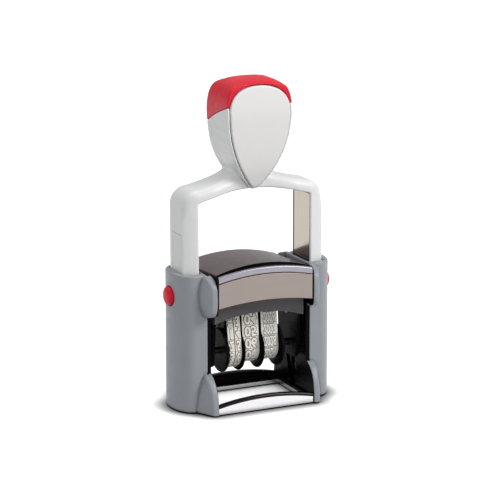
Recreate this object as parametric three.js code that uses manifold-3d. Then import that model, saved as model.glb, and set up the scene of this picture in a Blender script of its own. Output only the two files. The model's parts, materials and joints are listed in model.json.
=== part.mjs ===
// Self-inking date stamp: a sprung yoke with a teardrop knob carries a dater block that turns over
// on its way down to the paper. Millimetres, +Z up. X runs from column to column, the front is -Y
// and the table is z = 0.
import * as THREE from 'three';
import { mergeVertices } from 'three/addons/utils/BufferGeometryUtils.js';
import Module from 'manifold-3d';

const wasm = await Module();
wasm.setup();

// Clearances
const clearance = 0.3;
const fine_gap = 0.2;
const slide_gap = 0.4;
const overrun = 2;

// Text plate and travel
const plate_width = 41;
const plate_depth = 24;
const plate_web = 1.4;
const plate_relief = 0.6;
const relief_frame = 1;
const stroke = 28;

// Bands, from the left: day tens, day units, month, year
const narrow_band = 3.1;
const wide_band = 8;
const band_thickness = 0.8;
const twin_gap = 0.2;
const flange_cell = 1.1;
const nose_radius = 2.9;
const narrow_drum_radius = 7;
const wide_drum_radius = 5.4;
const wheel_drop = 16.1;
const flange_radius = 9.6;
const flange_thickness = 0.7;
const end_flange_thickness = 1.3;
const knurl_count = 24;
const knurl_depth = 0.5;
const wheel_axle_radius = 1.5;

// Dater block
const carrier_margin = 0.5;
const carrier_height = 7;
const carrier_arch = 3.4;
const carrier_wall = 1.4;
const end_plate_thickness = 1.6;
const end_plate_tail = 5.4;
const end_plate_neck = 1.5;
const end_plate_round = 3;
const pin_radius = 2;
const pin_head_radius = 3;
const pin_head_thickness = 0.8;
const follower_radius = 1.5;
const follower_arm = 7;

// Side frames and columns
const cheek_gap = 1.6;
const cheek_thickness = 1.7;
const cheek_half_depth = 12;
const cam_depth = 0.9;
const column_wall = 1.5;
const column_flat = 5;
const column_room = 2.3;
const column_rise = 2;
const column_floor = 2.4;
const column_edge = 0.5;
const collar_height = 3;
const ground_gap = 0.6;

// Legs, bridge and knob
const strip_thickness = 0.8;
const strip_inset = 1.2;
const leg_width = 6;
const leg_half_depth = 8.6;
const leg_wall = 1;
const leg_side_wall = 1.4;
const leg_floor_gap = 1;
const axle_foot = 7.5;
const leg_hollow = 48;
const leg_edge = 1.6;
const insert_half_width = 4.6;
const insert_depth = 0.5;
const insert_top = 77.3;
const bridge_end_gap = 2;
const bridge_mid_gap = 2.1;
const shoulder_radius = 7.5;
const shoulder_rise = 5.2;
const neck_half_width = 7.7;
const neck_rise = 7;
const neck_height = 4;
const knob_height = 48.7;
const knob_drop = 0.6;
const knob_half_width = 15.1;
const knob_widest = 35.2;
const knob_front = 13.4;
const knob_rear = 11.6;
const knob_keel = 4.5;
const knob_rim = 1.2;
const plate_groove = 0.35;
const face_thickness = 1.6;
const face_proud = 0.5;
const face_top_gap = 2.3;
const cap_wall = 1.8;
const cap_front_height = 37.9;
const cap_rear_height = 28;

// Springs and their rods
const wire_radius = 0.3;
const coil_radius = 1.4;
const spring_turns = 14;
const coil_steps = 8;
const wire_sides = 5;
const rod_radius = 0.7;
const rod_height = 44;

// Head: pad cartridge, its holder, cover and windows
const pad_gap = 0.7;
const ledge_thickness = 0.9;
const ledge_width = 0.4;
const pad_margin = 0.1;
const pad_length_margin = 1;
const cartridge_height = 4.5;
const cartridge_wall = 0.7;
const holder_wall = 1;
const roof_thickness = 1.2;
const head_half_depth = 18;
const apron_thickness = 1.4;
const sill_thickness = 1.2;
const panel_thickness = 1.2;
const panel_gap = 0.3;
const window_top_rise = 2.6;
const window_low_rise = 1.9;
const window_top_drop = 1.1;
const window_height = 10.7;
const trim_height = 3;
const trim_edge = 0.5;
const cover_wall = 1.5;
const cover_edge = 2.5;
const cover_rise = 3.5;
const cover_fall = 1.8;
const pull_half_width = 9;
const pull_depth = 0.8;
const pull_height = 3;

// Base: plate, skirts, lips and frame
const base_thickness = 1.6;
const base_ground_gap = 0.5;
const opening_gap = 0.4;
const opening_end_gap = 1.5;
const skirt_face = 19.7;
const skirt_thickness = 1.2;
const skirt_gap = 0.2;
const skirt_height = 3.1;
const skirt_rise = 2.4;
const lip_height = 1.1;
const lip_depth = 1.8;
const frame_bar = 2.9;
const screw_radius = 0.6;
const screw_head_radius = 1.1;
const screw_head_height = 0.7;
const screw_length = 2.6;
const screw_inset = 4;

// Ears and fins of the columns
const ear_gap = 0.1;
const ear_front = 19.5;
const ear_tip_width = 2.5;
const ear_root_width = 6.2;
const ear_height = 18.4;
const ear_top_shares = [[0, 1], [0.4, 0.97], [0.76, 0.89], [1, 0.7]];
const ear_low_shares = [[1, 0.24], [0.78, 0.07], [0.4, 0.01], [0, 0]];
const ear_border_shares = [[0.62, 1], [0.9, 0.8], [1, 0.55], [0.9, 0.25], [0.53, 0]];
const fin_front = 20.8;
const fin_root_width = 7.6;
const fin_top = 18.2;
const fin_shares = [[0, 1], [0.52, 0.83], [0.84, 0.57], [0.96, 0.3], [1, 0]];
const fin_border_shares = [[0.4, 1], [0.64, 0.77], [0.84, 0.5], [0.95, 0.26], [1, 0]];

// Lock buttons and feet
const button_drop = 10.5;
const button_radius = 4.15;
const button_lip = 0.4;
const button_flange = 0.45;
const button_play = 0.1;
const button_dome = 1.6;
const button_proud = 0.4;
const foot_thickness = 1.5;
const foot_inset = 1.6;

// Knob outlines as shares of its height, width and depth
const low_curve_shares = [[0.06, 0], [0.42, 0.238], [1, 0.555], [1, 1]];
const top_curve_shares = [[1, 0], [1, 0.62], [0.63, 1], [0, 1]];
const knob_front_shares = [
  [0.46, 0], [0.58, 0.045], [0.69, 0.117], [0.8, 0.205], [0.875, 0.302], [0.935, 0.425],
  [0.98, 0.57], [1, 0.68], [0.98, 0.77], [0.91, 0.9], [0.866, 0.955],
];
const knob_top_shares = [[-0.866, 0.955], [-0.42, 0.992], [0, 1], [0.27, 0.985], [0.45, 0.94]];
const knob_rear_shares = [
  [0.6, 0.94], [0.65, 0.84], [0.72, 0.68], [0.83, 0.53], [0.93, 0.4], [1, 0.27], [0.97, 0.17],
  [0.75, 0.06],
];

// Facet counts, with fewer on what is smaller than the named radius
const round_steps = 32;
const small_steps = 14;
const small_radius = 2.6;
const edge_steps = 2;
const wing_steps = 14;
const arch_steps = 16;
const curve_steps = 10;
const cam_steps = 20;
const merge_distance = 0.0005;
const coordinate_count = 3;

// Heights of the legs, the axle and the block: at the end of the stroke the text plate meets the table
const floor_top = ground_gap + column_floor;
const leg_low = floor_top + stroke + leg_floor_gap;
const leg_seat = leg_low + leg_hollow;
const axle_height = leg_low + axle_foot;
const print_reach = axle_height - stroke;
const print_face = axle_height + print_reach;
const carrier_top = print_face - plate_web - plate_relief;
const carrier_low = carrier_top - carrier_height;
const wheel_height = axle_height - wheel_drop;
const nose_height = print_face - nose_radius - band_thickness;
const follower_start = axle_height + follower_arm;
const follower_end = axle_height - stroke - follower_arm;

// Places worked out from the sizes, from the middle outwards
const carrier_half = plate_width / 2 + carrier_margin;
const carrier_half_depth = plate_depth / 2 + carrier_margin;
const cheek_inner = carrier_half + cheek_gap;
const column_inner = cheek_inner + cheek_thickness;
const strip_inner = column_inner + column_wall + slide_gap;
const leg_inner = strip_inner + strip_thickness;
const leg_outer = leg_inner + leg_width;
const leg_middle = (leg_inner + leg_outer) / 2;
const column_outer = leg_outer + column_room + column_wall;
const column_half_depth = leg_half_depth + column_room + column_wall;
const panel_half = cheek_inner - panel_gap;
const skirt_half = cheek_inner - skirt_gap;
const ear_inner = cheek_inner + ear_gap;

// Heights of the head, the handle and the base
const pad_low = print_face + pad_gap;
const ledge_top = pad_low + ledge_thickness;
const exit_low = pad_low - clearance;
const cartridge_low = ledge_top + fine_gap;
const cartridge_top = cartridge_low + cartridge_height;
const roof_low = cartridge_top + clearance;
const cover_seat = roof_low + roof_thickness;
const cover_crest = cover_seat + cover_edge + cover_rise;
const column_top = cover_seat + column_rise;
const button_height = column_top - button_drop;
const bridge_end = column_top + stroke + bridge_end_gap;
const bridge_mid = cover_crest + stroke + bridge_mid_gap;
const base_top = base_ground_gap + base_thickness;
const window_top = cover_seat - window_top_drop;
const window_low = window_top - window_height;
const knob_low = bridge_mid - knob_drop;

// Colours
function paint(color, roughness, metalness) {
  return new THREE.MeshStandardMaterial({ color, roughness, metalness });
}

const grey_plastic = paint(0x80868b, 0.5, 0);
const white_plastic = paint(0xdedede, 0.4, 0);
const red_plastic = paint(0xd72337, 0.35, 0);
const black_plastic = paint(0x17171a, 0.45, 0);
const carrier_plastic = paint(0x4b484b, 0.5, 0);
const gloss_cover = paint(0x5f5555, 0.15, 0.2);
const satin_panel = paint(0xa5968c, 0.3, 0.7);
const bright_trim = paint(0xb9bdc0, 0.3, 0.6);
const chrome = paint(0xe4e4e6, 0.12, 1);
const steel = paint(0xc8bcaf, 0.2, 1);
const band_rubber = paint(0xe1dcd2, 0.7, 0);
const die_rubber = paint(0x8a3d33, 0.8, 0);
const felt = paint(0x1d2340, 0.95, 0);
const foot_rubber = paint(0x2a2a2c, 0.9, 0);

// Solids: closed geometry to and from the boolean library
function solidOf(geometry) {
  const bare = geometry.clone();
  bare.deleteAttribute('normal');
  bare.deleteAttribute('uv');
  const merged = mergeVertices(bare, merge_distance);
  return new wasm.Manifold(new wasm.Mesh({
    numProp: coordinate_count,
    vertProperties: new Float32Array(merged.attributes.position.array),
    triVerts: new Uint32Array(merged.index.array),
  }));
}

function join(first, ...others) {
  return others.reduce((whole, other) => whole.add(other), first);
}

function cut(first, ...others) {
  return others.reduce((whole, other) => whole.subtract(other), first);
}

function meet(first, ...others) {
  return others.reduce((whole, other) => whole.intersect(other), first);
}

// The same solid on the other side of the middle plane of one axis, 0 for X and 1 for Y
function mirrored(solid, axis = 0) {
  const mesh = solid.getMesh();
  const mirror = (value, index) => (index % coordinate_count === axis ? -value : value);
  const places = mesh.vertProperties.map(mirror);
  const corners = Uint32Array.from(mesh.triVerts).reverse();
  return new wasm.Manifold(new wasm.Mesh({
    numProp: coordinate_count,
    vertProperties: places,
    triVerts: corners,
  }));
}

// An outline pushed along X (outline in Y, Z), along Y (outline in X, Z) or along Z (outline in X, Y)
function prism(outline, axis, from, to, edge = 0) {
  const shape = new THREE.Shape(outline.map(([across, up]) => new THREE.Vector2(across, up)));
  const geometry = new THREE.ExtrudeGeometry(shape, {
    depth: to - from - 2 * edge,
    bevelEnabled: edge > 0,
    bevelThickness: edge,
    bevelSize: edge,
    bevelOffset: -edge,
    bevelSegments: edge_steps,
    steps: 1,
  });
  geometry.translate(0, 0, edge);
  const right = new THREE.Vector3(1, 0, 0);
  const up = new THREE.Vector3(0, 1, 0);
  const ahead = new THREE.Vector3(0, 0, 1);
  const turn = new THREE.Matrix4();
  if (axis === 'x') {
    turn.makeBasis(up, ahead, right).setPosition(from, 0, 0);
  } else if (axis === 'y') {
    turn.makeBasis(right, ahead, up.negate()).setPosition(0, to, 0);
  } else {
    turn.setPosition(0, 0, from);
  }
  geometry.applyMatrix4(turn);
  return solidOf(geometry);
}

// A round solid about an axis along X through (y, z), from pairs of x and radius
function turned(profile, y, z) {
  const points = profile.map(([x, radius]) => new THREE.Vector2(radius, x));
  const widest = Math.max(...profile.map(([, radius]) => radius));
  const geometry = new THREE.LatheGeometry(points, stepsFor(widest));
  const axisToX = new THREE.Matrix4().makeBasis(
    new THREE.Vector3(0, 1, 0),
    new THREE.Vector3(1, 0, 0),
    new THREE.Vector3(0, 0, -1),
  );
  geometry.applyMatrix4(axisToX);
  geometry.translate(0, y, z);
  return solidOf(geometry);
}

// Outlines
function stepsFor(radius) {
  return radius < small_radius ? small_steps : round_steps;
}

function rectangle(x0, y0, x1, y1) {
  return [[x0, y0], [x1, y0], [x1, y1], [x0, y1]];
}

function block(x0, x1, y0, y1, z0, z1) {
  return prism(rectangle(x0, y0, x1, y1), 'z', z0, z1);
}

function arc(x, y, radius, from, to, steps) {
  const points = [];
  for (let step = 0; step <= steps; step += 1) {
    const angle = from + ((to - from) * step) / steps;
    points.push([x + radius * Math.cos(angle), y + radius * Math.sin(angle)]);
  }
  return points;
}

function disc(x, y, radius) {
  return arc(x, y, radius, 0, 2 * Math.PI, stepsFor(radius)).slice(0, -1);
}

// A rectangle with rounded corners
function softRectangle(x0, y0, x1, y1, radius) {
  const steps = round_steps / 8;
  return [
    ...arc(x1 - radius, y1 - radius, radius, 0, Math.PI / 2, steps),
    ...arc(x0 + radius, y1 - radius, radius, Math.PI / 2, Math.PI, steps),
    ...arc(x0 + radius, y0 + radius, radius, Math.PI, 1.5 * Math.PI, steps),
    ...arc(x1 - radius, y0 + radius, radius, 1.5 * Math.PI, 2 * Math.PI, steps),
  ];
}

// An upright slot with round ends between two heights
function slot(low, high, radius) {
  const steps = stepsFor(radius) / 2;
  return [...arc(0, high, radius, 0, Math.PI, steps), ...arc(0, low, radius, Math.PI, 2 * Math.PI, steps)];
}

// A shallow arch from -half to +half, from the height of its ends to the height of its middle
function arch(half, ends, middle) {
  const rise = middle - ends;
  const radius = (half * half + rise * rise) / (2 * rise);
  const points = [];
  for (let step = 0; step <= arch_steps; step += 1) {
    const x = half * ((2 * step) / arch_steps - 1);
    points.push([x, middle - radius + Math.sqrt(radius * radius - x * x)]);
  }
  return points;
}

// The face between two arches
function archedBand(half, lowEnds, lowMiddle, topEnds, topMiddle) {
  return [...arch(half, lowEnds, lowMiddle), ...arch(half, topEnds, topMiddle).reverse()];
}

// A belt's outline round two circles on one upright line
function belt(topHeight, topRadius, lowHeight, lowRadius) {
  const lean = Math.asin((lowRadius - topRadius) / (topHeight - lowHeight));
  return [
    ...arc(0, topHeight, topRadius, lean, Math.PI - lean, round_steps / 2),
    ...arc(0, lowHeight, lowRadius, Math.PI - lean, 2 * Math.PI + lean, round_steps / 2),
  ];
}

function bezier(points, steps) {
  const curve = new THREE.CubicBezierCurve(...points.map(([x, y]) => new THREE.Vector2(x, y)));
  return curve.getPoints(steps).map((point) => [point.x, point.y]);
}

function spline(points, steps) {
  const curve = new THREE.SplineCurve(points.map(([x, y]) => new THREE.Vector2(x, y)));
  return curve.getPoints(steps).map((point) => [point.x, point.y]);
}

function drop(points) {
  return points.slice(1);
}

// Nodes
const stamp = new THREE.Group();

function addPiece(name, solid, material) {
  const mesh = solid.getMesh();
  const geometry = new THREE.BufferGeometry();
  geometry.setAttribute('position', new THREE.BufferAttribute(mesh.vertProperties, 3));
  geometry.setIndex(new THREE.BufferAttribute(mesh.triVerts, 1));
  geometry.computeVertexNormals();
  const piece = new THREE.Mesh(geometry, material);
  piece.name = name;
  stamp.add(piece);
}

function addPair(name, solid, material) {
  addPiece(`right_${name}`, solid, material);
  addPiece(`left_${name}`, mirrored(solid), material);
}

// Column: D-shaped hollow post with a collar round the leg, two ears and two fins
function columnPlan(inset) {
  const x = column_inner + inset;
  const halfDepth = column_half_depth - inset;
  const centre = column_inner + column_flat;
  const reach = column_outer - inset - centre;
  const side = arc(0, 0, 1, -Math.PI / 2, Math.PI / 2, round_steps / 2);
  const round = side.map(([cosine, sine]) => [centre + reach * cosine, halfDepth * sine]);
  return [[x, -halfDepth], ...round, [x, halfDepth]];
}

// Where the inside of the column's round wall lies at a distance from the middle plane
function innerWallAt(y) {
  const centre = column_inner + column_flat;
  const reach = column_outer - column_wall - centre;
  return centre + reach * Math.sqrt(1 - (y / (column_half_depth - column_wall)) ** 2);
}

// An ear or fin: the convex form between its side outline, given as shares of reach and rise, and its
// border on the column, given as shares of its width there and of the same rise
function wing(shares, borderShares, front, rootWidth, low, high) {
  const root = column_half_depth - column_wall;
  const height = (up) => low + (high - low) * up;
  const outline = spline(shares, wing_steps).flatMap(([out, up]) => {
    const ahead = root + (front - root) * out;
    return [ear_inner, ear_inner + ear_tip_width].map((x) => [x, -ahead, height(up)]);
  });
  const border = spline(borderShares, wing_steps).map(([out, up]) => (
    [ear_inner + rootWidth * out, -root, height(up)]
  ));
  const side = cheek_half_depth + clearance;
  const cheekRoom = block(
    ear_inner - overrun,
    column_inner + column_edge,
    -side,
    side,
    low - overrun,
    high + overrun,
  );
  return cut(wasm.Manifold.hull([...outline, ...border]), cheekRoom);
}

function column() {
  const shaft = prism(columnPlan(0), 'z', ground_gap, column_top, column_edge);
  const hollow = prism(columnPlan(column_wall), 'z', floor_top, column_top - collar_height);
  const legPlan = softRectangle(
    strip_inner - slide_gap,
    -leg_half_depth - slide_gap,
    leg_outer + slide_gap,
    leg_half_depth + slide_gap,
    leg_edge,
  );
  const mouth = prism(legPlan, 'z', floor_top, column_top + overrun);
  const pinSlot = prism(axleSlot(), 'x', column_inner - overrun, column_inner + column_wall + clearance);
  const buttonBore = disc(0, button_height, button_radius + fine_gap);
  const bore = prism(buttonBore, 'x', leg_outer, column_outer + overrun);
  const footRecess = prism(columnPlan(foot_inset - clearance), 'z', 0, foot_thickness);
  const earShares = [...ear_top_shares, ...ear_low_shares];
  const earLow = column_top - ear_height;
  const ear = wing(earShares, ear_border_shares, ear_front, ear_root_width, earLow, column_top);
  const fin = wing(fin_shares, fin_border_shares, fin_front, fin_root_width, ground_gap, fin_top);
  const wings = join(ear, fin);
  return cut(join(shaft, wings, mirrored(wings, 1)), hollow, mouth, pinSlot, bore, footRecess);
}

// Side frame: a slot for the axle pin and a blind cam groove for the follower pin
function axleSlot() {
  return slot(axle_height - stroke, axle_height, pin_radius + clearance);
}

function camGroove() {
  const half = follower_radius + clearance;
  const near = [];
  const far = [];
  for (let step = 0; step <= cam_steps; step += 1) {
    const angle = (Math.PI * step) / cam_steps;
    const y = follower_arm * Math.sin(angle);
    const z = axle_height - (stroke * angle) / Math.PI + follower_arm * Math.cos(angle);
    const dy = follower_arm * Math.cos(angle);
    const dz = -stroke / Math.PI - follower_arm * Math.sin(angle);
    const length = Math.hypot(dy, dz);
    near.push([y + (half * dz) / length, z - (half * dy) / length]);
    far.push([y - (half * dz) / length, z + (half * dy) / length]);
  }
  const path = prism([...near, ...far.reverse()], 'x', cheek_inner - overrun, cheek_inner + cam_depth);
  const ends = [follower_start, follower_end].map((height) => (
    prism(disc(0, height, half), 'x', cheek_inner - overrun, cheek_inner + cam_depth)
  ));
  return join(path, ...ends);
}

function cheek() {
  const plate = block(cheek_inner, column_inner, -cheek_half_depth, cheek_half_depth, base_top, cover_seat);
  return cut(plate, prism(axleSlot(), 'x', cheek_inner - overrun, column_inner + overrun), camGroove());
}

// Base: chrome plate with the printing opening, arched skirts, their lips and a black frame
function screwPlaces() {
  const x = skirt_half - screw_inset;
  const y = skirt_face - skirt_thickness - frame_bar / 2;
  return [['front_left', -x, -y], ['front_right', x, -y], ['rear_left', -x, y], ['rear_right', x, y]];
}

function screwHoles(low, high, radius) {
  return screwPlaces().map(([, x, y]) => prism(disc(x, y, radius), 'z', low, high));
}

function basePlate() {
  const halfDepth = skirt_face - skirt_thickness;
  const low = base_ground_gap;
  const plate = block(-column_inner, column_inner, -cheek_half_depth, cheek_half_depth, low, base_top);
  const ends = block(-skirt_half, skirt_half, -halfDepth, halfDepth, low, base_top);
  const openX = carrier_half + opening_gap;
  const openY = plate_depth / 2 + opening_end_gap;
  return cut(
    join(plate, ends),
    block(-openX, openX, -openY, openY, 0, base_top + overrun),
    ...screwHoles(0, base_top + overrun, screw_radius + fine_gap),
    ...screwHoles(0, low + screw_head_height + fine_gap, screw_head_radius + fine_gap),
  );
}

function skirt() {
  const top = base_ground_gap + skirt_height;
  const outline = [[-skirt_half, base_ground_gap], [skirt_half, base_ground_gap]];
  const crest = arch(skirt_half, top, top + skirt_rise).reverse();
  return prism([...outline, ...crest], 'y', -skirt_face, -skirt_face + skirt_thickness);
}

function lip() {
  const low = base_ground_gap + skirt_height;
  const top = low + lip_height;
  const band = archedBand(skirt_half, low, low + skirt_rise, top, top + skirt_rise);
  return prism(band, 'y', -skirt_face, -skirt_face + lip_depth);
}

function baseFrame() {
  const outer = skirt_face - skirt_thickness;
  const low = base_ground_gap + skirt_height;
  const crest = arch(skirt_half, low - clearance, low + skirt_rise - clearance).reverse();
  const barOutline = [[-skirt_half, base_top], [skirt_half, base_top], ...crest];
  const bar = prism(barOutline, 'y', -outer, -outer + frame_bar);
  const openX = carrier_half + opening_gap;
  const tie = block(openX, cheek_inner, -outer, outer, base_top, low - clearance);
  const pieces = join(bar, mirrored(bar, 1), tie, mirrored(tie));
  const pinPath = disc(0, follower_end, follower_radius + clearance);
  const notches = prism(pinPath, 'x', -cheek_inner - overrun, cheek_inner + overrun);
  return cut(pieces, notches, ...screwHoles(0, base_top + screw_length, screw_radius + fine_gap));
}

function screw(x, y) {
  const low = base_ground_gap;
  const head = prism(disc(x, y, screw_head_radius), 'z', low, low + screw_head_height);
  const shank = prism(disc(x, y, screw_radius), 'z', low, base_top + screw_length - fine_gap);
  return join(head, shank);
}

// Head: the black frame that holds the pad cartridge, with the panels and cover round it
function headFrame() {
  const inner = cheek_inner - holder_wall;
  const windowX = inner - ledge_width - clearance;
  const windowY = plate_depth / 2 + pad_length_margin + clearance;
  const box = block(-cheek_inner, cheek_inner, -head_half_depth, head_half_depth, pad_low, cover_seat);
  const apronOutline = [
    ...arch(panel_half, window_low + clearance, window_low + window_low_rise + clearance),
    [panel_half, ledge_top],
    [-panel_half, ledge_top],
  ];
  const apron = prism(apronOutline, 'y', -head_half_depth, -head_half_depth + apron_thickness);
  const cavity = block(
    -inner,
    inner,
    -head_half_depth + apron_thickness,
    head_half_depth + overrun,
    ledge_top,
    roof_low,
  );
  const window = block(-windowX, windowX, -windowY, windowY, pad_low - overrun, ledge_top + overrun);
  const sillLow = exit_low - sill_thickness;
  const sill = block(-cheek_inner, cheek_inner, windowY + clearance, head_half_depth, sillLow, pad_low);
  const exit = block(-windowX, windowX, 0, head_half_depth + overrun, exit_low, ledge_top + overrun);
  return cut(join(box, apron, mirrored(apron, 1), sill), cavity, window, exit);
}

function padCartridge() {
  const half = cheek_inner - holder_wall - clearance;
  const front = -head_half_depth + apron_thickness + clearance;
  const padX = plate_width / 2 + pad_margin + clearance;
  const padY = plate_depth / 2 + pad_length_margin + fine_gap;
  const tray = block(-half, half, front, head_half_depth + fine_gap, cartridge_low, cartridge_top);
  const faceLow = exit_low + fine_gap;
  const face = block(
    -panel_half,
    panel_half,
    head_half_depth + fine_gap,
    head_half_depth + panel_thickness,
    faceLow,
    cover_seat - clearance,
  );
  const well = block(-padX, padX, -padY, padY, cartridge_low - overrun, cartridge_top - cartridge_wall);
  const middle = (faceLow + cover_seat) / 2;
  const pull = block(
    -pull_half_width,
    pull_half_width,
    head_half_depth + panel_thickness - pull_depth,
    head_half_depth + panel_thickness + overrun,
    middle - pull_height / 2,
    middle + pull_height / 2,
  );
  return cut(join(tray, face), well, pull);
}

function inkPad() {
  const halfX = plate_width / 2 + pad_margin;
  const halfY = plate_depth / 2 + pad_length_margin;
  return block(-halfX, halfX, -halfY, halfY, pad_low, cartridge_top - cartridge_wall - fine_gap);
}

function frontWindow() {
  const lowMiddle = window_low + window_low_rise;
  const outline = archedBand(panel_half, window_low, lowMiddle, window_top, window_top + window_top_rise);
  return prism(outline, 'y', -head_half_depth - panel_thickness, -head_half_depth);
}

function frontTrim() {
  const low = window_top + fine_gap;
  const top = low + trim_height;
  const outline = archedBand(panel_half, low, low + window_top_rise, top, top + window_top_rise);
  return prism(outline, 'y', -head_half_depth - panel_thickness, -head_half_depth, trim_edge);
}

function rearPanel() {
  const outline = [
    ...arch(panel_half, window_low, window_low + window_low_rise),
    [panel_half, exit_low],
    [-panel_half, exit_low],
  ];
  return prism(outline, 'y', head_half_depth, head_half_depth + panel_thickness);
}

// The space under an arched roof that falls from the head's front to its rear
function underFallingRoof(half, ends, middle) {
  const front = -head_half_depth;
  const rear = head_half_depth + panel_thickness;
  const low = cover_seat - 2 * overrun;
  const outline = [[-half, low], [half, low], ...arch(half, ends, middle).reverse()];
  const fall = (Math.atan2(cover_fall, rear - front) * 180) / Math.PI;
  const level = prism(outline, 'y', front - overrun, rear + overrun);
  return level.translate([0, -front, -middle]).rotate([-fall, 0, 0]).translate([0, front, middle]);
}

function topCover() {
  const front = -head_half_depth;
  const rear = head_half_depth + panel_thickness;
  const ends = cover_seat + cover_edge;
  const inner = panel_half - cover_wall;
  const room = block(-panel_half, panel_half, front, rear, cover_seat, cover_crest + overrun);
  const shell = meet(room, underFallingRoof(panel_half, ends, cover_crest));
  const within = block(
    -inner,
    inner,
    front + cover_wall,
    rear - cover_wall,
    cover_seat - overrun,
    cover_crest + overrun,
  );
  return cut(shell, meet(within, underFallingRoof(inner, ends - cover_wall, cover_crest - cover_wall)));
}

// Handle: two hollow legs, the bridge and the knob body in one moulding
function knobOutline(halfWidth, low, widest, high) {
  const lowPoints = low_curve_shares.map(([out, up]) => [halfWidth * out, low + (widest - low) * up]);
  const topPoints = top_curve_shares.map(([out, up]) => [halfWidth * out, widest + (high - widest) * up]);
  const right = [...bezier(lowPoints, curve_steps), ...drop(bezier(topPoints, curve_steps))];
  const left = right.map(([x, z]) => [-x, z]).reverse();
  return [...right, ...drop(left)];
}

// The knob seen from the side, drawn in by a distance
function knobSide(inset) {
  const height = knob_height - inset;
  const place = (depth) => ([out, up]) => [(depth - inset) * out, knob_low + height * up];
  const forward = ([out, up]) => place(knob_front)([out, up]).map((value, axis) => (axis ? value : -value));
  const front = spline(knob_front_shares.map(forward), curve_steps);
  const frontTop = knob_top_shares.filter(([out]) => out < 0).map(place(knob_front));
  const rearTop = knob_top_shares.filter(([out]) => out >= 0).map(place(knob_rear));
  const top = spline([...frontTop, ...rearTop], curve_steps);
  const rear = spline([top.at(-1), ...knob_rear_shares.map(place(knob_rear))], curve_steps);
  const keel = [[-knob_keel, rear.at(-1)[1]]];
  return [...front, ...drop(top), ...drop(rear), ...keel].reverse();
}

// The knob's full form drawn in by a distance: its front view crossed with its side view
function knobForm(inset) {
  const widest = knob_low + knob_widest;
  const outline = knobOutline(knob_half_width - inset, knob_low, widest, knob_low + knob_height - inset);
  return meet(
    prism(outline, 'y', -knob_front, knob_rear),
    prism(knobSide(inset), 'x', -knob_half_width, knob_half_width),
  );
}

// The region over the slanting lower edge of the cap, from the side
function overCapEdge(lift) {
  const front = knob_low + cap_front_height + lift;
  const rear = knob_low + cap_rear_height + lift;
  const top = knob_low + knob_height + overrun;
  const slope = (front - rear) / (knob_front + knob_rear);
  const outline = [
    [-knob_front - overrun, front + slope * overrun],
    [knob_rear + overrun, rear - slope * overrun],
    [knob_rear + overrun, top],
    [-knob_front - overrun, top],
  ];
  return prism(outline, 'x', -knob_half_width - overrun, knob_half_width + overrun);
}

function faceOutline(grow) {
  return knobOutline(
    knob_half_width - knob_rim + grow,
    knob_low + knob_rim - grow,
    knob_low + knob_widest,
    knob_low + knob_height - face_top_gap + grow,
  );
}

// The space in front of a copy of the knob's front curve, moved along Y
function aheadOfFront(move) {
  const place = ([out, up]) => [-knob_front * out + move, knob_low + knob_height * up];
  const curve = spline(knob_front_shares.map(place), curve_steps);
  const ahead = -knob_front - overrun;
  const low = knob_low - overrun;
  const high = knob_low + knob_height;
  const outline = [[ahead, low], [curve[0][0], low], ...curve, [curve.at(-1)[0], high], [ahead, high]];
  return prism(outline, 'x', -knob_half_width - overrun, knob_half_width + overrun);
}

function faceRecess() {
  const outline = faceOutline(plate_groove);
  return meet(prism(outline, 'y', -knob_front - overrun, 0), aheadOfFront(face_thickness));
}

function knobFacePlate() {
  const slab = prism(faceOutline(0), 'y', -knob_front - overrun, 0);
  return cut(meet(slab, aheadOfFront(face_thickness - clearance)), aheadOfFront(-face_proud));
}

// A hood open to the front: the face plate closes it
function knobCap() {
  const core = knobForm(cap_wall);
  const mouth = meet(
    prism(faceOutline(plate_groove), 'y', -knob_front - overrun, 0),
    aheadOfFront(cap_wall + clearance + face_thickness),
  );
  return cut(meet(knobForm(0), overCapEdge(0)), core, mouth);
}

function handleOutline() {
  const shoulderX = leg_outer - shoulder_radius;
  const shoulderTop = bridge_end + shoulder_rise;
  const neckZ = bridge_mid + neck_rise;
  const right = [
    [leg_outer, leg_low],
    ...arc(shoulderX, shoulderTop - shoulder_radius, shoulder_radius, 0, Math.PI / 2, curve_steps),
    ...drop(neckCurve([shoulderX, shoulderTop], [neck_half_width, neckZ])),
    [neck_half_width, neckZ + neck_height],
  ];
  const left = right.map(([x, z]) => [-x, z]).reverse();
  const inside = [[-leg_inner, leg_low], ...arch(leg_inner, bridge_end, bridge_mid), [leg_inner, leg_low]];
  return [...right, ...left, ...inside];
}

// The bridge's top: a hollow curve that rises from the shoulder to the neck
function neckCurve(shoulder, neck) {
  const control = [(shoulder[0] + neck[0]) / 2, (shoulder[1] + neck[1]) / 2];
  const curve = new THREE.QuadraticBezierCurve(
    new THREE.Vector2(...shoulder),
    new THREE.Vector2(control[0] - neck_height, control[1]),
    new THREE.Vector2(...neck),
  );
  return curve.getPoints(curve_steps).map((point) => [point.x, point.y]);
}

function handle() {
  const yoke = prism(handleOutline(), 'y', -leg_half_depth, leg_half_depth, leg_edge);
  const hollow = block(
    leg_inner + leg_wall,
    leg_outer - leg_wall,
    -leg_half_depth + leg_side_wall,
    leg_half_depth - leg_side_wall,
    leg_low - overrun,
    leg_seat,
  );
  const bore = disc(0, axle_height, pin_radius + fine_gap);
  const bearing = prism(bore, 'x', leg_inner - overrun, leg_inner + leg_wall + clearance);
  const groove = block(
    leg_outer - insert_depth,
    leg_outer + overrun,
    -insert_half_width - fine_gap,
    insert_half_width + fine_gap,
    leg_low - overrun,
    insert_top,
  );
  const lower = cut(knobForm(0), overCapEdge(-clearance));
  const whole = join(lower, knobForm(cap_wall + clearance), yoke);
  const sides = [hollow, bearing, groove];
  return cut(whole, faceRecess(), ...sides, ...sides.map((side) => mirrored(side)));
}

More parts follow.
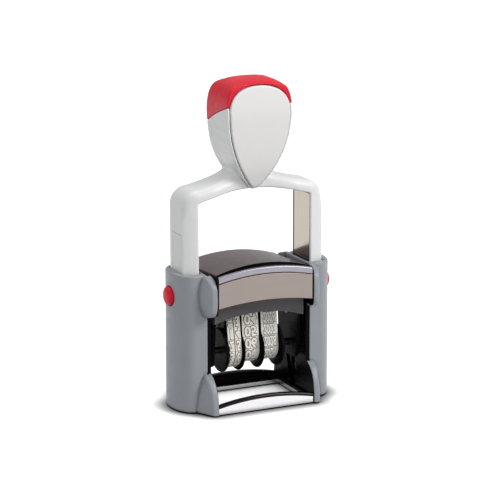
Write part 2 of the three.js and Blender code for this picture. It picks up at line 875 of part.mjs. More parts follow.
function legStrip() {
  const half = leg_half_depth - strip_inset;
  const plate = block(strip_inner, leg_inner, -half, half, leg_low, bridge_end - clearance);
  const bore = disc(0, axle_height, pin_radius + fine_gap);
  return cut(plate, prism(bore, 'x', strip_inner - overrun, leg_inner + overrun));
}

function legInsert() {
  const half = insert_half_width;
  const low = leg_low + leg_edge;
  return block(leg_outer - insert_depth, leg_outer, -half, half, low, insert_top - fine_gap);
}

// The least gap between stretches of one wire that lie at least half a turn apart along it
function leastGap(centres) {
  const apart = coil_steps / 2;
  let least = Infinity;
  centres.forEach((centre, index) => {
    for (const other of centres.slice(index + apart)) {
      least = Math.min(least, centre.distanceTo(other) - 2 * wire_radius);
    }
  });
  return least;
}

// Return spring: one unbroken wire wound up the middle of the leg
function returnSpring() {
  const low = floor_top + wire_radius + fine_gap;
  const high = leg_seat - wire_radius - fine_gap;
  const steps = spring_turns * coil_steps;
  const centres = [];
  const rings = [];
  for (let step = 0; step <= steps; step += 1) {
    const angle = (2 * Math.PI * step) / coil_steps;
    const out = new THREE.Vector3(Math.cos(angle), Math.sin(angle), 0);
    const centre = out.clone().multiplyScalar(coil_radius).add(new THREE.Vector3(leg_middle, 0, 0));
    centre.z = low + ((high - low) * step) / steps;
    centres.push(centre);
    const ring = [];
    for (let side = 0; side < wire_sides; side += 1) {
      const turn = (2 * Math.PI * side) / wire_sides;
      const lift = new THREE.Vector3(0, 0, wire_radius * Math.sin(turn));
      ring.push(centre.clone().addScaledVector(out, wire_radius * Math.cos(turn)).add(lift));
    }
    rings.push(ring);
  }
  const places = rings.flat().flatMap((point) => [point.x, point.y, point.z]);
  const corners = [];
  for (let step = 0; step < steps; step += 1) {
    for (let side = 0; side < wire_sides; side += 1) {
      const next = (side + 1) % wire_sides;
      const [a, b] = [step * wire_sides + side, step * wire_sides + next];
      const [c, d] = [a + wire_sides, b + wire_sides];
      corners.push(a, d, b, a, c, d);
    }
  }
  for (let side = 1; side < wire_sides - 1; side += 1) {
    corners.push(0, side, side + 1);
    const last = steps * wire_sides;
    corners.push(last, last + side + 1, last + side);
  }
  const geometry = new THREE.BufferGeometry();
  geometry.setAttribute('position', new THREE.BufferAttribute(new Float32Array(places), 3));
  geometry.setIndex(corners);
  console.log(`return spring: least gap to itself ${leastGap(centres).toFixed(2)} mm`);
  return solidOf(geometry);
}

function springRod() {
  return prism(disc(leg_middle, 0, rod_radius), 'z', floor_top, floor_top + rod_height);
}

// Dater block
function bandCells() {
  const total = 2 * narrow_band + 2 * wide_band + twin_gap + 2 * flange_cell;
  const cells = [
    { name: 'day_tens', width: narrow_band, drum: narrow_drum_radius, after: twin_gap, flange: 'left' },
    { name: 'day_units', width: narrow_band, drum: narrow_drum_radius, after: flange_cell, flange: 'right' },
    { name: 'month', width: wide_band, drum: wide_drum_radius, after: flange_cell, flange: 'right' },
    { name: 'year', width: wide_band, drum: wide_drum_radius, after: 0, flange: 'end' },
  ];
  let x = -total / 2;
  for (const cell of cells) {
    cell.from = x;
    cell.to = x + cell.width;
    x = cell.to + cell.after;
  }
  return cells;
}

const cells = bandCells();
const bands_half = cells.at(-1).to;
const band_window = bands_half + slide_gap;

function bandHalfWidthAt(height) {
  const lean = (narrow_drum_radius - nose_radius) / (nose_height - wheel_height);
  return nose_radius + band_thickness + (nose_height - height) * lean;
}

function daterFrame() {
  const arched = [
    ...arch(carrier_half, carrier_low - carrier_arch, carrier_low),
    [carrier_half, carrier_top],
    [-carrier_half, carrier_top],
  ];
  const head = prism(arched, 'y', -carrier_half_depth, carrier_half_depth);
  const windowY = bandHalfWidthAt(carrier_low - carrier_arch) + slide_gap;
  const bandLow = carrier_low - overrun;
  const band = block(-band_window, band_window, -windowY, windowY, bandLow, carrier_top + overrun);
  const roof = carrier_top - carrier_wall;
  const pocketX = band_window + carrier_wall;
  const pocketEnd = carrier_half - end_plate_thickness;
  const pocketY = carrier_half_depth - carrier_wall;
  const low = carrier_low - carrier_arch - overrun;
  const sidePocket = block(pocketX, pocketEnd, -pocketY, pocketY, low, roof);
  const frontPocket = block(-band_window, band_window, windowY + carrier_wall, pocketY, low, roof);
  const shell = cut(head, band, sidePocket, mirrored(sidePocket), frontPocket, mirrored(frontPocket, 1));
  const plate = endPlate();
  const whole = join(shell, plate, mirrored(plate));
  const bores = [
    disc(0, axle_height, pin_radius + fine_gap),
    disc(0, follower_start, follower_radius + fine_gap),
    disc(0, wheel_height, wheel_axle_radius + fine_gap),
  ];
  const holes = bores.map((bore) => prism(bore, 'x', pocketEnd, carrier_half + overrun));
  return cut(whole, ...holes, ...holes.map((hole) => mirrored(hole)));
}

function endPlate() {
  const low = wheel_height - end_plate_tail;
  const half = flange_radius - end_plate_neck + slide_gap;
  const corner = end_plate_round;
  const right = [
    ...arc(half - corner, low + corner, corner, -Math.PI / 2, 0, curve_steps / 2),
    [half + end_plate_neck, carrier_low - end_plate_tail],
    [carrier_half_depth, carrier_low],
    [carrier_half_depth, carrier_top],
  ];
  const left = right.map(([y, z]) => [-y, z]).reverse();
  return prism([...right, ...left], 'x', carrier_half - end_plate_thickness, carrier_half);
}

function textPlate() {
  const halfX = plate_width / 2;
  const halfY = plate_depth / 2;
  const web = carrier_top + plate_web;
  const base = block(-halfX, halfX, -halfY, halfY, carrier_top, print_face);
  const windowY = nose_radius + band_thickness + clearance;
  const windowLow = carrier_top - overrun;
  const window = block(-band_window, band_window, -windowY, windowY, windowLow, print_face + overrun);
  const innerX = halfX - relief_frame;
  const fieldLow = windowY + relief_frame;
  const field = block(-innerX, innerX, fieldLow, halfY - relief_frame, web, print_face + overrun);
  return cut(base, window, field, mirrored(field, 1));
}

function axlePin() {
  const plateInner = carrier_half - end_plate_thickness;
  return turned([
    [plateInner - pin_head_thickness, 0],
    [plateInner - pin_head_thickness, pin_head_radius],
    [plateInner, pin_head_radius],
    [plateInner, pin_radius],
    [leg_inner - fine_gap, pin_radius],
    [leg_inner - fine_gap, 0],
  ], 0, axle_height);
}

function followerPin() {
  const from = carrier_half - end_plate_thickness + fine_gap;
  const to = cheek_inner + cam_depth - fine_gap;
  const radius = follower_radius;
  const profile = [[from, 0], [from, radius], [to, radius], [to, 0]];
  return turned(profile, 0, follower_start);
}

function wheelAxle() {
  return turned([
    [-carrier_half, 0],
    [-carrier_half, wheel_axle_radius],
    [carrier_half, wheel_axle_radius],
    [carrier_half, 0],
  ], 0, wheel_height);
}

function bandNose() {
  const radius = nose_radius - fine_gap;
  return prism(slot(nose_height - radius, nose_height, radius), 'x', -band_window, band_window);
}

function band(cell) {
  const thick = band_thickness;
  const radius = cell.drum + fine_gap;
  const outer = belt(nose_height, nose_radius + thick, wheel_height, radius + thick);
  const inner = belt(nose_height, nose_radius, wheel_height, radius);
  const loop = prism(outer, 'x', cell.from, cell.to);
  return cut(loop, prism(inner, 'x', cell.from - overrun, cell.to + overrun));
}

function knurledDisc() {
  const points = [];
  for (let tooth = 0; tooth < knurl_count; tooth += 1) {
    const start = (2 * Math.PI * tooth) / knurl_count;
    const quarter = Math.PI / (2 * knurl_count);
    for (let corner = 0; corner < 4; corner += 1) {
      const angle = start + corner * quarter;
      const radius = corner < 2 ? flange_radius : flange_radius - knurl_depth;
      points.push([radius * Math.cos(angle), wheel_height + radius * Math.sin(angle)]);
    }
  }
  return points;
}

function thumbwheel(cell) {
  const thickness = cell.flange === 'right' ? flange_thickness : end_flange_thickness;
  const drumFrom = cell.flange === 'left' ? cell.from - fine_gap : cell.from;
  const drumTo = cell.flange === 'left' ? cell.to : cell.to + fine_gap;
  const discFrom = cell.flange === 'left' ? drumFrom - thickness : drumTo;
  const middle = discFrom + thickness / 2;
  const drumEnds = [Math.min(drumFrom, middle), Math.max(drumTo, middle)];
  const drum = prism(disc(0, wheel_height, cell.drum), 'x', ...drumEnds);
  const flange = prism(knurledDisc(), 'x', discFrom, discFrom + thickness);
  const bore = disc(0, wheel_height, wheel_axle_radius + fine_gap);
  const widest = carrier_half;
  return cut(join(drum, flange), prism(bore, 'x', -widest, widest));
}

function lockButton() {
  const flangeRadius = button_radius + fine_gap + button_lip;
  const rest = innerWallAt(flangeRadius) - button_flange - button_play;
  const rim = column_outer + button_proud;
  const steps = 5;
  const dome = [];
  for (let step = 0; step <= steps; step += 1) {
    const angle = (Math.PI / 2) * (step / steps);
    dome.push([rim + button_dome * Math.sin(angle), button_radius * Math.cos(angle)]);
  }
  dome[steps][1] = 0;
  return turned([
    [rest, 0],
    [rest, flangeRadius],
    [rest + button_flange, flangeRadius],
    [rest + button_flange, button_radius],
    ...dome,
  ], 0, button_height);
}

function footPad() {
  return prism(columnPlan(foot_inset), 'z', 0, foot_thickness);
}

// Assembly
addPair('column', column(), grey_plastic);
addPair('cheek', cheek(), black_plastic);
addPair('foot_pad', footPad(), foot_rubber);
addPair('spring_rod', springRod(), steel);
addPair('return_spring', returnSpring(), steel);
addPair('lock_button', lockButton(), red_plastic);
addPair('leg_strip', legStrip(), steel);
addPair('leg_insert', legInsert(), white_plastic);
addPair('axle_pin', axlePin(), steel);
addPair('follower_pin', followerPin(), steel);
addPiece('base_plate', basePlate(), chrome);
addPiece('front_skirt', skirt(), chrome);
addPiece('rear_skirt', mirrored(skirt(), 1), chrome);
addPiece('front_lip', lip(), black_plastic);
addPiece('rear_lip', mirrored(lip(), 1), black_plastic);
addPiece('base_frame', baseFrame(), black_plastic);
for (const [place, x, y] of screwPlaces()) {
  addPiece(`${place}_screw`, screw(x, y), steel);
}
addPiece('head_frame', headFrame(), black_plastic);
addPiece('pad_cartridge', padCartridge(), black_plastic);
addPiece('ink_pad', inkPad(), felt);
addPiece('front_window', frontWindow(), satin_panel);
addPiece('front_trim', frontTrim(), bright_trim);
addPiece('rear_panel', rearPanel(), satin_panel);
addPiece('top_cover', topCover(), gloss_cover);
addPiece('handle', handle(), white_plastic);
addPiece('knob_face_plate', knobFacePlate(), white_plastic);
addPiece('knob_cap', knobCap(), red_plastic);
addPiece('dater_frame', daterFrame(), carrier_plastic);
addPiece('text_plate', textPlate(), die_rubber);
addPiece('band_nose', bandNose(), black_plastic);
addPiece('wheel_axle', wheelAxle(), steel);
for (const cell of cells) {
  addPiece(`${cell.name}_band`, band(cell), band_rubber);
  addPiece(`${cell.name}_wheel`, thumbwheel(cell), black_plastic);
}

export default stamp;
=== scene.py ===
"""Looks of the self-inking date stamp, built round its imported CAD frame.

Sizes are in millimetres, in the CAD's frame: +Z up, the front is -Y. Meshes are made in metres.
"""

import functools
import json
import math
from contextlib import contextmanager

import bmesh
import bpy
import numpy as np
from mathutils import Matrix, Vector

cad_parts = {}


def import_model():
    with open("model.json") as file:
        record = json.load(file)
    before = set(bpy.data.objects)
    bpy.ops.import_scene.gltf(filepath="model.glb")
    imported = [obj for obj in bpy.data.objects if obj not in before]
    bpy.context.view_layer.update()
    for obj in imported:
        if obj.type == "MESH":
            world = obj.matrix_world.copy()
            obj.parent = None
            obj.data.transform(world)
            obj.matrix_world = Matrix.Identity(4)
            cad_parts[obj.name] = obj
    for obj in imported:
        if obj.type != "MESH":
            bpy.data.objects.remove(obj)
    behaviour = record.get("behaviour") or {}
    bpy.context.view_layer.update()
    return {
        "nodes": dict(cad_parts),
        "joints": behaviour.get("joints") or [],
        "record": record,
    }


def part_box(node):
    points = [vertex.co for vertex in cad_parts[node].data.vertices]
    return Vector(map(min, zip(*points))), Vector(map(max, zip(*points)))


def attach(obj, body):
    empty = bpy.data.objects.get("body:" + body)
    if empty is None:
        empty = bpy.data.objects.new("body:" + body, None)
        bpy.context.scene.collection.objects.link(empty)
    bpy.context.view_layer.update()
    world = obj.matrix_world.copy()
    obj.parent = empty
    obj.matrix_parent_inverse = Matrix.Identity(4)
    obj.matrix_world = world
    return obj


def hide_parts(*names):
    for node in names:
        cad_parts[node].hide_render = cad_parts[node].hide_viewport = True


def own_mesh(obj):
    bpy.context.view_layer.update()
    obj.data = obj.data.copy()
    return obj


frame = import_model()

MM = 0.001
X, Y, Z = range(3)
SIDES = {"right": 1, "left": -1}
ENDS = {"front": -1, "rear": 1}
SLOT_OF = {row["node"]: row["material_slot"] for row in frame["record"]["subparts"]}
BODY_OF = {node: body for body, nodes in frame["record"]["behaviour"]["bodies"].items() for node in nodes}
PRESS = next(row for row in frame["joints"] if row["name"] == "handle_press")
PRESS_TRAVEL = max(PRESS["range_m"]) / MM


def span(node, axis):
    """Lowest and highest place of a CAD node along an axis."""
    low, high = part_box(node)
    return low[axis] / MM, high[axis] / MM


# Camera and lamps, fitted to the photograph
CAMERA_PLACE = (-423.2, -906.0, 308.9)
CAMERA_AIM = (1.14, -0.53, 66.58)
CAMERA_LENS = 171.7
SENSOR_WIDTH = 36
LAMP_AIM = (0, 0, 60)
LAMPS = [
    ("key", (460, -520, 560), 380, 4.1),
    ("front", (-80, -950, 240), 260, 0.6),
    ("top", (-120, 160, 760), 520, 1.4),
    ("left", (-700, -300, 300), 500, 0.4),
]
SKY_COLOUR = (0.95, 0.97, 1.0, 1)
SKY_STRENGTH = 0.58

# Floor, in metres
FLOOR_SIZE = 6
CONTACT_REACH = 0.007
GLOW_DISTANCES = (0.06, 0.4)
GLOW_STRENGTHS = (0.5, 0.72)
CONTACT_POWER = 2.5
PAPER_TONE = 0.8
BOUNCE_TONE = 0.42

# Sizes taken from the frame
STRIP_INNER, LEG_INNER = span("right_leg_strip", X)
LEG_OUTER = span("handle", X)[1]
LEG_LOW = span("handle", Z)[0]
STRIP_HALF_DEPTH = span("right_leg_strip", Y)[1]
BRIDGE_GAP = 0.3
BRIDGE_END = span("right_leg_strip", Z)[1] + BRIDGE_GAP
INSERT_HALF = span("right_leg_insert", Y)[1]
INSERT_TOP = span("right_leg_insert", Z)[1]
AXLE_HEIGHT = sum(span("right_axle_pin", Z)) / 2
COLUMN_LOW, COLUMN_TOP = span("right_column", Z)
COLUMN_OUTER = span("right_column", X)[1]
CHEEK_INNER, COLUMN_INNER = span("right_cheek", X)
CHEEK_HALF_DEPTH = span("right_cheek", Y)[1]
FLOOR_TOP = span("right_spring_rod", Z)[0]
BUTTON_HEIGHT = sum(span("right_lock_button", Z)) / 2
FOOT_TOP = span("right_foot_pad", Z)[1]
KNOB_CREST = span("knob_cap", Z)[1]
KNOB_HALF_WIDTH = span("knob_cap", X)[1]
KNOB_FRONT = -span("handle", Y)[0]
KNOB_REAR = span("handle", Y)[1]

# Legs
LEG_HALF_DEPTH = 8.6
LEG_WALL = 1.0
LEG_SIDE_WALL = 1.4
LEG_HOLLOW = 48.0
LEG_OVERRUN = 10.0
LEG_OUTER_ROUND = 0.5
LEG_INNER_ROUND = 0.9
LEG_REAR_ROUND = 1.7
LEG_FRONT_FALL = 2.4
LEG_FALL_SHARE = 0.35
PIN_BORE = 2.2
STRIP_REACH = 1.3
STRIP_GAP = 0.1
STRIP_END = 1.0
STRIP_EDGE = 1.4
STRIP_EDGE_DEPTH = 0.5
STRIP_EDGE_ROUND = 0.1
STRIP_EDGE_PROUD = 0.03
STRIP_EDGE_OVERHANG = 0.05
INSERT_DEPTH = 0.5
INSERT_SEAM = 0.1
SEAM = 0.2

# Knob
KNOB_RIM = 1.2
KNOB_DROP = 0.6
KNOB_WIDEST = 35.2
KNOB_LOW = span("knob_face_plate", Z)[0] - KNOB_RIM
KNOB_HEIGHT = KNOB_CREST - KNOB_LOW
KNOB_CROWN_ROUND = 3.2
CROWN_ROUND_HEIGHT = 16.0
KNOB_KEEL = 4.5
KNOB_BACK_ROUND = 0.9
KNOB_FRONT_ROUND = 0.45
KNOB_LEDGE_ROUND = 0.25
FACE_TOP_GAP = 2.8
FACE_THICKNESS = 1.6
FACE_BACK_GAP = 0.3
FACE_PROUD = 0.6
FACE_GROOVE = 0.35
FACE_ROUND = 0.45
FACE_RECESS_ROUND = 0.2
CAP_WALL = 1.8
CAP_MOUTH_ROUND = 0.35

# Bridge
BRIDGE_MID = KNOB_LOW + KNOB_DROP
BRIDGE_ROUND = 4.6
BRIDGE_UNDER_ROUND = 1.2
BRIDGE_THINNING = 2.5
BRIDGE_NEAR = 5.0
BRIDGE_FAR = 21.0
SHOULDER_RADIUS = 7.5
SHOULDER_RISE = 5.6
SHOULDER_ROUND = 3.2
SHOULDER_BLEND = 7.0
NECK_HALF_WIDTH = 8.6
NECK_RISE = 6.8
NECK_HEIGHT = 4.0
NECK_CREASE = 0.3

# Knob outlines as shares of its height, width and depth
LOW_CURVE_SHARES = [(0.06, 0), (0.6, 0.25), (1, 0.555), (1, 1)]
TOP_CURVE_SHARES = [(1, 0), (1, 0.62), (0.63, 1), (0, 1)]
HOOD_CURVE_SHARES = [(1, 0), (1, 0.81), (0.77, 1), (0, 1)]
FRONT_SHARES = [
    (0.46, 0), (0.58, 0.045), (0.69, 0.117), (0.8, 0.205), (0.875, 0.302), (0.935, 0.425),
    (0.98, 0.57), (1, 0.68), (0.98, 0.77), (0.91, 0.9), (0.866, 0.955),
]
CROWN_SHARES = [(-0.866, 0.97), (-0.42, 1.02), (0, 1.034), (0.27, 1.026), (0.45, 0.992)]
REAR_SHARES = [
    (0.74, 0.94), (0.8, 0.84), (0.8, 0.68), (0.84, 0.53),
    (0.93, 0.4), (1, 0.27), (0.97, 0.17), (0.75, 0.06),
]
CAP_EDGE_SHARES = [
    (-1, 0.778), (-0.91, 0.768), (-0.63, 0.745), (-0.16, 0.699), (0.38, 0.641), (0.74, 0.6), (1, 0.575),
]
FAR_AHEAD_SHARE = 3

# Columns
COLUMN_FLAT = 5.0
COLUMN_WALL = 1.5
COLUMN_HALF_DEPTH = 12.4
COLUMN_EDGE = 0.7
COLLAR_HEIGHT = 3.0
SLIDE_GAP = 0.4
PIN_GAP = 0.1
CHEEK_GAP = 0.3
LEG_MOUTH_ROUND = 1.6
MOUTH_ROUND = 0.3
BUTTON_BORE = 4.35
FOOT_RIM = 1.3

# Ears and fins, with their outlines as shares of reach and height
EAR_FRONT = 19.5
EAR_ROOT_WIDTH = 6.2
EAR_HEIGHT = 18.4
EAR_SHARES = [(0, 1), (0.4, 0.97), (0.76, 0.89), (1, 0.7), (1, 0.24), (0.78, 0.07), (0.4, 0.01), (0, 0)]
EAR_BORDER_SHARES = [(0.62, 1), (0.9, 0.8), (1, 0.55), (0.9, 0.25), (0.53, 0)]
FIN_FRONT = span("right_column", Y)[1]
FIN_ROOT_WIDTH = 7.6
FIN_TOP = 18.2
FIN_SHARES = [(0, 1), (0.52, 0.83), (0.84, 0.57), (0.96, 0.3), (1, 0)]
FIN_BORDER_SHARES = [(0.4, 1), (0.64, 0.77), (0.84, 0.5), (0.95, 0.26), (1, 0)]
WING_TIP_WIDTH = 2.5
WING_GAP = 0.1
WING_EDGE = 0.5
WING_OUTER_ROUND = 0.7
WING_CREASE = 0.3
WING_STEEPNESS = 0.9
WING_SHARE_RANGE = (-0.5, 1.2)

# Black liners of the ears and fins
LINER_GAP = 0.02
LINER_RISE = 2.2
EAR_LINER_OVERLAP = 0.08
EAR_LINER_INSET = 0.15
EAR_LINER_DROP = 1.2
EAR_LINER_ROUNDS = (2.2, 0.2, 0.2, 2.6)
EAR_LINER_SINK = 0.5
FIN_LINER_INSET = 0.5
FIN_LINER_THICKNESS = 0.25

# Arched strips of the head and base
END_GAP = 0.3
SKIRT_RISE = 2.4
SKIRT_ROUNDS = (0.3, 0.1, 0.1, 0.15)
WINDOW_LOW_RISE = 1.9
WINDOW_TOP_RISE = 2.6
WINDOW_ROUNDS = (0.35, 0.1, 0.1, 0.2)
TRIM_ROUNDS = (0.6, 0.1, 0.1, 0.9)
LIP_ROUNDS = (0.5, 0.1, 0.3, 0.8)
LIP_PROUD = 0.35
LIP_DROP = 0.45

# Cover
COVER_RISE = 3.5
COVER_FALL = 2.3
COVER_FRONT_ROUND = 1.7
COVER_REAR_ROUND = 0.4
COVER_BEND_SHARE = 0.3
COVER_SIDE_ROUND = 0.6
COVER_LEAST_HEIGHT = 0.3
COVER_SHADED_RIM_SHARE = 1.45

# Turning block
END_PLATE_TOP = 38.5

# Number bands
BAND_NOSE_RADIUS = 3.7
BAND_THICKNESS = 0.8
BAND_RELIEF = 0.3
BAND_SIDE_GAP = 0.16
BAND_EDGE = 0.06
BAND_SHOULDER_SHARE = 0.05
BAND_PITCH = 5.5
STEM_GAP = 0.4
STEM_HALF = 2.2
STEM_ROUND = 0.5

# Characters and lines on the bands; the shares are those of the built-in font
CHARACTER_HEIGHT = 4.3
CHARACTER_BOLD = 0.16
CHARACTER_SPREAD = 0.36
CHARACTER_MARGIN = 0.5
FONT_HEIGHT_SHARE = 0.73
FONT_WIDTH_SHARE = 0.62
INK_AND_SHADE_DEPTH = 0.08
ROW_LINE = 0.1
ROW_LINE_DEPTH = 0.05
BAR_PLACES = (-1.5, 0, 1.5)
BAR_HALF_THICKNESS = 0.26
BAND_TEXTS = {
    "day_tens": ["1", "2", "3", ""],
    "day_units": [str(digit) for digit in range(10)],
    "month": [f"{number:02}" for number in range(1, 13)],
    "year": ["2023", "2024", "2025", "2026", "2027", "2028", "2029", "", "2030", "2031"],
}

# Thumbwheels
WHEEL_BORE = 1.6
WHEEL_STEPS = 240
WHEEL_TEETH_DEPTH = 0.14
DRUM_DEPTH = 1.05
DISC_GAP = 0.1
DISC_EDGE = 0.22
DISC_RIM = 1.8
DISC_RIM_RISE = 0.12
DISC_OUTER_RIM = 2.4
DISC_DISH = 0.1
DISC_SLOPE = 0.4

# Springs and buttons
SPRING_TURNS = 34
SPRING_END_TURNS = 1.5
COIL_STEPS = 20
WIRE_RADIUS = 0.3
WIRE_SIDES = 8
COIL_RADIUS = 1.4
BUTTON_GAP = 0.2
BUTTON_DOME = 1.6
BUTTON_DOME_POWER = 0.8
BUTTON_DOME_ANGLES = (0.12, math.pi / 2 - 0.02)
BUTTON_BACK_RADIUS = 0.4
FLANGE_THICKNESS = 0.45

# Grid steps of the forms that are netted from a field, the room round them, and angles in degrees
HANDLE_STEP = 0.4
KNOB_STEP = 0.35
COLUMN_STEP = 0.35
MARGIN = 1.0
NET_FLAT = 0.15
NET_SHARP = 60
CAD_WELD = 0.002
CAD_FLAT = 0.6
CAD_EDGE = 30
CAD_SHARP = 35
SOFT_EDGE = 0.15
SOFT_PROFILE = 0.6


# Node graphs
def linear(red, green, blue):
    """A colour written in 0 to 255 as it shows on a screen, for a shader."""
    shares = [value / 255 for value in (red, green, blue)]
    return [s / 12.92 if s <= 0.04045 else ((s + 0.055) / 1.055) ** 2.4 for s in shares] + [1]


class Graph:
    """The node tree of a material or a world, put together from calls."""

    def __init__(self, owner):
        owner.use_nodes = True
        self.nodes, self.links = owner.node_tree.nodes, owner.node_tree.links

    def feed(self, socket, value):
        """Gives a socket a plain value or the output of another node."""
        if isinstance(value, bpy.types.NodeSocket):
            self.links.new(value, socket)
        else:
            socket.default_value = value

    def add(self, kind, inputs=(), operation=None):
        """The outputs of a new node, whose inputs are fed by name or by number."""
        node = self.nodes.new(f"ShaderNode{kind}")
        if operation:
            node.operation = operation
        for socket, value in dict(inputs).items():
            self.feed(node.inputs[socket], value)
        return node.outputs

    def ranged(self, value, given, wanted=(0, 1)):
        """A value whose given range is stretched over the wanted one."""
        inputs = {"Value": value}
        inputs.update(zip(("From Min", "From Max", "To Min", "To Max"), (*given, *wanted)))
        return self.add("MapRange", inputs)["Result"]

    def mixed(self, share, first, second):
        """A blend of two colours, each a colour or an output."""
        mix = self.nodes.new("ShaderNodeMix")
        mix.data_type = "RGBA"
        for socket, value in ((0, share), (6, first), (7, second)):
            self.feed(mix.inputs[socket], value)
        return mix.outputs[2]


NOISE_RANGE = (0.3, 0.7)


class Shader(Graph):
    """A material round one Principled shader, whose looks are added one by one."""

    def __init__(self, colour, roughness, metallic=0.0, specular=0.5):
        self.material = bpy.data.materials.new("finish")
        super().__init__(self.material)
        self.surface = self.nodes["Principled BSDF"].inputs
        self.colour = linear(*colour)
        self.feed(self.surface["Roughness"], roughness)
        self.feed(self.surface["Metallic"], metallic)
        self.feed(self.surface["Specular IOR Level"], specular)
        self.place = self.add("TexCoord")["Object"]
        self.paint(self.colour)

    def paint(self, tone):
        self.tone = tone
        self.feed(self.surface["Base Color"], tone)
        return self

    def tinted(self, share):
        """The material's colour, darker or lighter by a share."""
        return [min(1, value * share) for value in self.colour[:3]] + [1]

    def noise(self, per_metre, stretch=(1, 1, 1), detail=3.0):
        place = self.add("Mapping", {"Vector": self.place, "Scale": stretch})["Vector"]
        return self.add("TexNoise", {"Vector": place, "Scale": per_metre, "Detail": detail})["Fac"]

    def mottle(self, share, per_metre=120, stretch=(1, 1, 1)):
        """Colour that drifts a little, darker and lighter."""
        drift = self.noise(per_metre, stretch)
        return self.paint(self.mixed(drift, self.tinted(1 - share), self.tinted(1 + share)))

    def worn(self, colour, low=0.52, high=0.6):
        """Edges that catch a paler tone: partly rubbing wear, partly a painted highlight on rounded edges.
        """
        edge = self.ranged(self.add("NewGeometry")["Pointiness"], (low, high))
        return self.paint(self.mixed(edge, self.tone, linear(*colour)))

    def soiled(self, share, low=0.38, high=0.48):
        """Creases darkened with painted shade."""
        crease = self.ranged(self.add("NewGeometry")["Pointiness"], (high, low))
        return self.paint(self.mixed(crease, self.tone, self.tinted(share)))

    def gloss(self, low, high, per_metre=400, stretch=(1, 1, 1)):
        """Roughness that varies over the surface."""
        value = self.ranged(self.noise(per_metre, stretch), NOISE_RANGE, (low, high))
        self.feed(self.surface["Roughness"], value)
        return self

    def grain(self, depth, per_metre, stretch=(1, 1, 1), strength=0.5):
        """Fine relief of the moulding or brushing."""
        height = self.noise(per_metre, stretch, 2.0)
        bump = self.add("Bump", {"Strength": strength, "Distance": depth * MM, "Height": height})
        self.feed(self.surface["Normal"], bump["Normal"])
        return self


# Finishes
SHADERS = {
    # Grey plastic: paler edges are partly wear and partly painted highlight; darker creases are painted
    # shade.
    "grey_plastic": Shader((146, 150, 155), 0.42, specular=0.4).mottle(0.05)
    .worn((162, 166, 171)).soiled(0.25).gloss(0.36, 0.5).grain(0.02, 4200),
    # White plastic: paler edges are mostly a painted highlight on the knob's rim and rounded edges; darker
    # creases are painted shade.
    "white_plastic": Shader((221, 221, 219), 0.38, specular=0.4).mottle(0.02)
    .worn((247, 247, 246), 0.505, 0.57).soiled(0.6).gloss(0.32, 0.44).grain(0.012, 3200),
    "insert_plastic": Shader((219, 219, 217), 0.4, specular=0.35).mottle(0.02)
    .gloss(0.34, 0.46).grain(0.012, 3200),
    "face_plastic": Shader((226, 223, 221), 0.45, specular=0.35)
    .mottle(0.015, 90, (1, 1, 2)).gloss(0.4, 0.5).grain(0.01, 5200),
    "red_plastic": Shader((214, 8, 40), 0.42, specular=0.28).mottle(0.1, 90)
    .worn((222, 30, 58)).gloss(0.36, 0.48).grain(0.012, 3600),
    "black_plastic": Shader((5, 3, 5), 0.3, specular=0.02).mottle(0.3, 160)
    .worn((20, 18, 21)).gloss(0.2, 0.38).grain(0.015, 2600),
    "carrier_plastic": Shader((74, 70, 71), 0.45, specular=0.25).mottle(0.08, 140)
    .worn((98, 94, 97)).gloss(0.38, 0.55).grain(0.02, 3600),
    "gloss_cover": Shader((84, 66, 62), 0.3, specular=0.45).mottle(0.15, 60)
    .gloss(0.28, 0.36).grain(0.003, 700),
    "satin_panel": Shader((147, 135, 129), 0.34, metallic=0.6)
    .mottle(0.035, 160, (0.3, 1, 1)).gloss(0.28, 0.42, 1600, (0.04, 1, 1)).grain(0.004, 3200, (0.05, 1, 1)),
    "bright_trim": Shader((150, 146, 154), 0.38, metallic=0.75).mottle(0.04, 220)
    .gloss(0.34, 0.42).grain(0.002, 900),
    "chrome": Shader((228, 225, 228), 0.1, metallic=1.0).mottle(0.02, 300)
    .gloss(0.06, 0.16).grain(0.001, 900),
    "dull_metal": Shader((176, 174, 178), 0.24, metallic=1.0).mottle(0.05, 300)
    .gloss(0.2, 0.3).grain(0.001, 900),
    "gloss_black": Shader((16, 9, 11), 0.12, specular=0.25).mottle(0.3, 160)
    .gloss(0.1, 0.18).grain(0.002, 900),
    "oiled_steel": Shader((62, 58, 57), 0.3, metallic=0.9).mottle(0.1, 400)
    .gloss(0.24, 0.38).grain(0.002, 1500),
    "steel": Shader((168, 158, 146), 0.16, metallic=1.0)
    .mottle(0.03, 260, (1, 1, 0.2)).gloss(0.12, 0.2, 600, (1, 1, 0.1)).grain(0.0008, 900, (1, 1, 0.1)),
    "band_rubber": Shader((248, 243, 232), 0.6).mottle(0.07, 500).gloss(0.5, 0.7)
    .grain(0.03, 3000),
    # Dark rim round each band character, partly ink residue and partly painted shade round the relief; it
    # also draws a dark line between rows.
    "ink_residue": Shader((50, 45, 45), 0.7).mottle(0.3, 700).grain(0.03, 3000),
    "die_rubber": Shader((138, 62, 52), 0.7).mottle(0.12, 300).gloss(0.6, 0.8)
    .grain(0.03, 2600),
    "felt": Shader((32, 36, 66), 0.95).mottle(0.3, 900)
    .grain(0.12, 5200, strength=0.9),
    "foot_rubber": Shader((44, 44, 46), 0.85).mottle(0.15, 400).grain(0.05, 2600),
}
FINISHES = {name: shader.material for name, shader in SHADERS.items()}
for name, material in FINISHES.items():
    material.name = name


# Meshes
@contextmanager
def edited(source, target=None):
    """A mesh opened for editing, which is written back to it or to another one."""
    form = bmesh.new()
    form.from_mesh(source)
    yield form
    form.to_mesh(target or source)
    form.free()


def sharpen(mesh, degrees):
    """Smooth shading with sharp edges over an angle."""
    mesh.polygons.foreach_set("use_smooth", [True] * len(mesh.polygons))
    mesh.set_sharp_from_angle(angle=math.radians(degrees))


